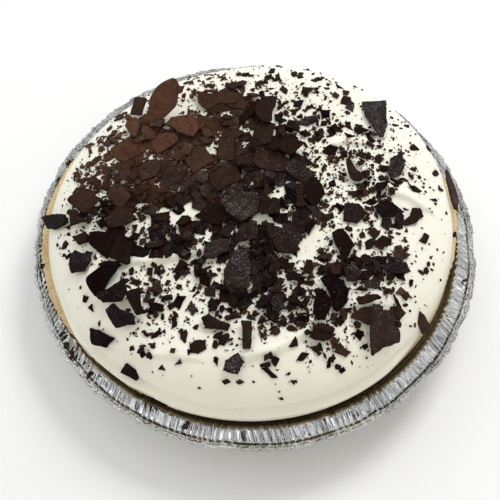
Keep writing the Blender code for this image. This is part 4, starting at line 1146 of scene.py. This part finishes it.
def make_flange_crumbs(chocolate_look, pastry_look):
    """The few crumbs on the flange."""
    rng = random.Random(SEED + 4)
    for name, rows, look, slot in (("flange_chocolate", FLANGE_CHOCOLATE, chocolate_look, "chocolate"),
                                   ("flange_pastry", FLANGE_PASTRY, pastry_look, "pastry")):
        pile = Scatter()
        for x, y, size in rows:
            for _ in range(3 if size > 2.5 else 1):
                jump = 0.3 * size
                spot = (x + rng.uniform(-jump, jump), y + rng.uniform(-jump, jump))
                add_crumb(pile, rng, *spot, FLANGE_TOP, size, (0.35, 0.3, rng.random()))
        pile.build(name, look, slot)


def make_stage():
    """A plain pale floor."""
    bpy.ops.mesh.primitive_plane_add(size=6.0, location=(0.0, 0.0, -0.0002))
    floor = bpy.context.object
    floor.name = "floor"
    m = Shading("floor")
    m.set(Base_Color=(0.93, 0.93, 0.93, 1.0), Roughness=0.8)
    floor.data.materials.append(m.material)


def make_lights():
    """A key light behind right, a weak one at the left, and a mottled surround, plain to the camera."""
    world = bpy.data.worlds.new("surround")
    bpy.context.scene.world = world
    world.use_nodes = True
    tree = world.node_tree
    m = Nodes(tree)
    direction = m.add("ShaderNodeTexCoord").outputs["Generated"]
    sides = m.add("ShaderNodeSeparateXYZ", {"Vector": direction})
    mottle = m.noise(3.6, 2.0, 0.5, direction)
    mottle = m.ramp(mottle, (0.45, (0.03, 0.03, 0.03)), (0.55, (1.06, 1.06, 1.05)))
    front = m.times(sides.outputs["Y"], -1.0, clamp=True)
    left = m.times(sides.outputs["X"], -1.0, clamp=True)
    colour = m.mix(1.0, mottle, m.mix(front, (1.0, 1.0, 1.0), (1.08, 0.98, 0.74)), "MULTIPLY")
    colour = m.mix(1.0, colour, m.mix(left, (1.0, 1.0, 1.0), (0.86, 0.92, 1.0)), "MULTIPLY")
    panes = m.ramp(m.noise(8.0, 1.0, 0.5, direction), (0.60, (0.0,) * 3), (0.64, (1.0,) * 3))
    colour = m.mix(panes, colour, (2.3, 2.3, 2.3))
    seen = m.add("ShaderNodeLightPath").outputs["Is Camera Ray"]
    colour = m.mix(seen, colour, (0.86, 0.86, 0.86))
    tree.links.new(colour, tree.nodes["Background"].inputs["Color"])
    for name, place, size, power in LAMPS:
        light = bpy.data.lights.new(name, "AREA")
        light.size = size
        light.energy = power
        lamp = bpy.data.objects.new(name, light)
        bpy.context.scene.collection.objects.link(lamp)
        lamp.location = place
        lamp.visible_glossy = name != "key"
        lamp.rotation_euler = (-Vector(place)).to_track_quat("-Z", "Y").to_euler()


def make_camera():
    """The camera at the photo's angle."""
    camera = bpy.data.objects.new("camera", bpy.data.cameras.new("camera"))
    bpy.context.scene.collection.objects.link(camera)
    camera.data.lens = CAMERA_LENS
    camera.data.sensor_width = 36.0
    camera.data.clip_start = 0.01
    camera.location = Vector(CAMERA_PLACE) * MM
    camera.rotation_euler = (math.pi / 2 - CAMERA_DOWN, 0.0, CAMERA_LEFT)
    bpy.context.scene.camera = camera
    bpy.context.scene.view_settings.view_transform = "Standard"


make_camera()
make_stage()
make_lights()
chocolate = chocolate_material()
make_tin(foil_material())
pastry = pastry_material()
make_crust(pastry)
make_cream(cream_material())
make_chocolate(chocolate)
make_flange_crumbs(chocolate, pastry)
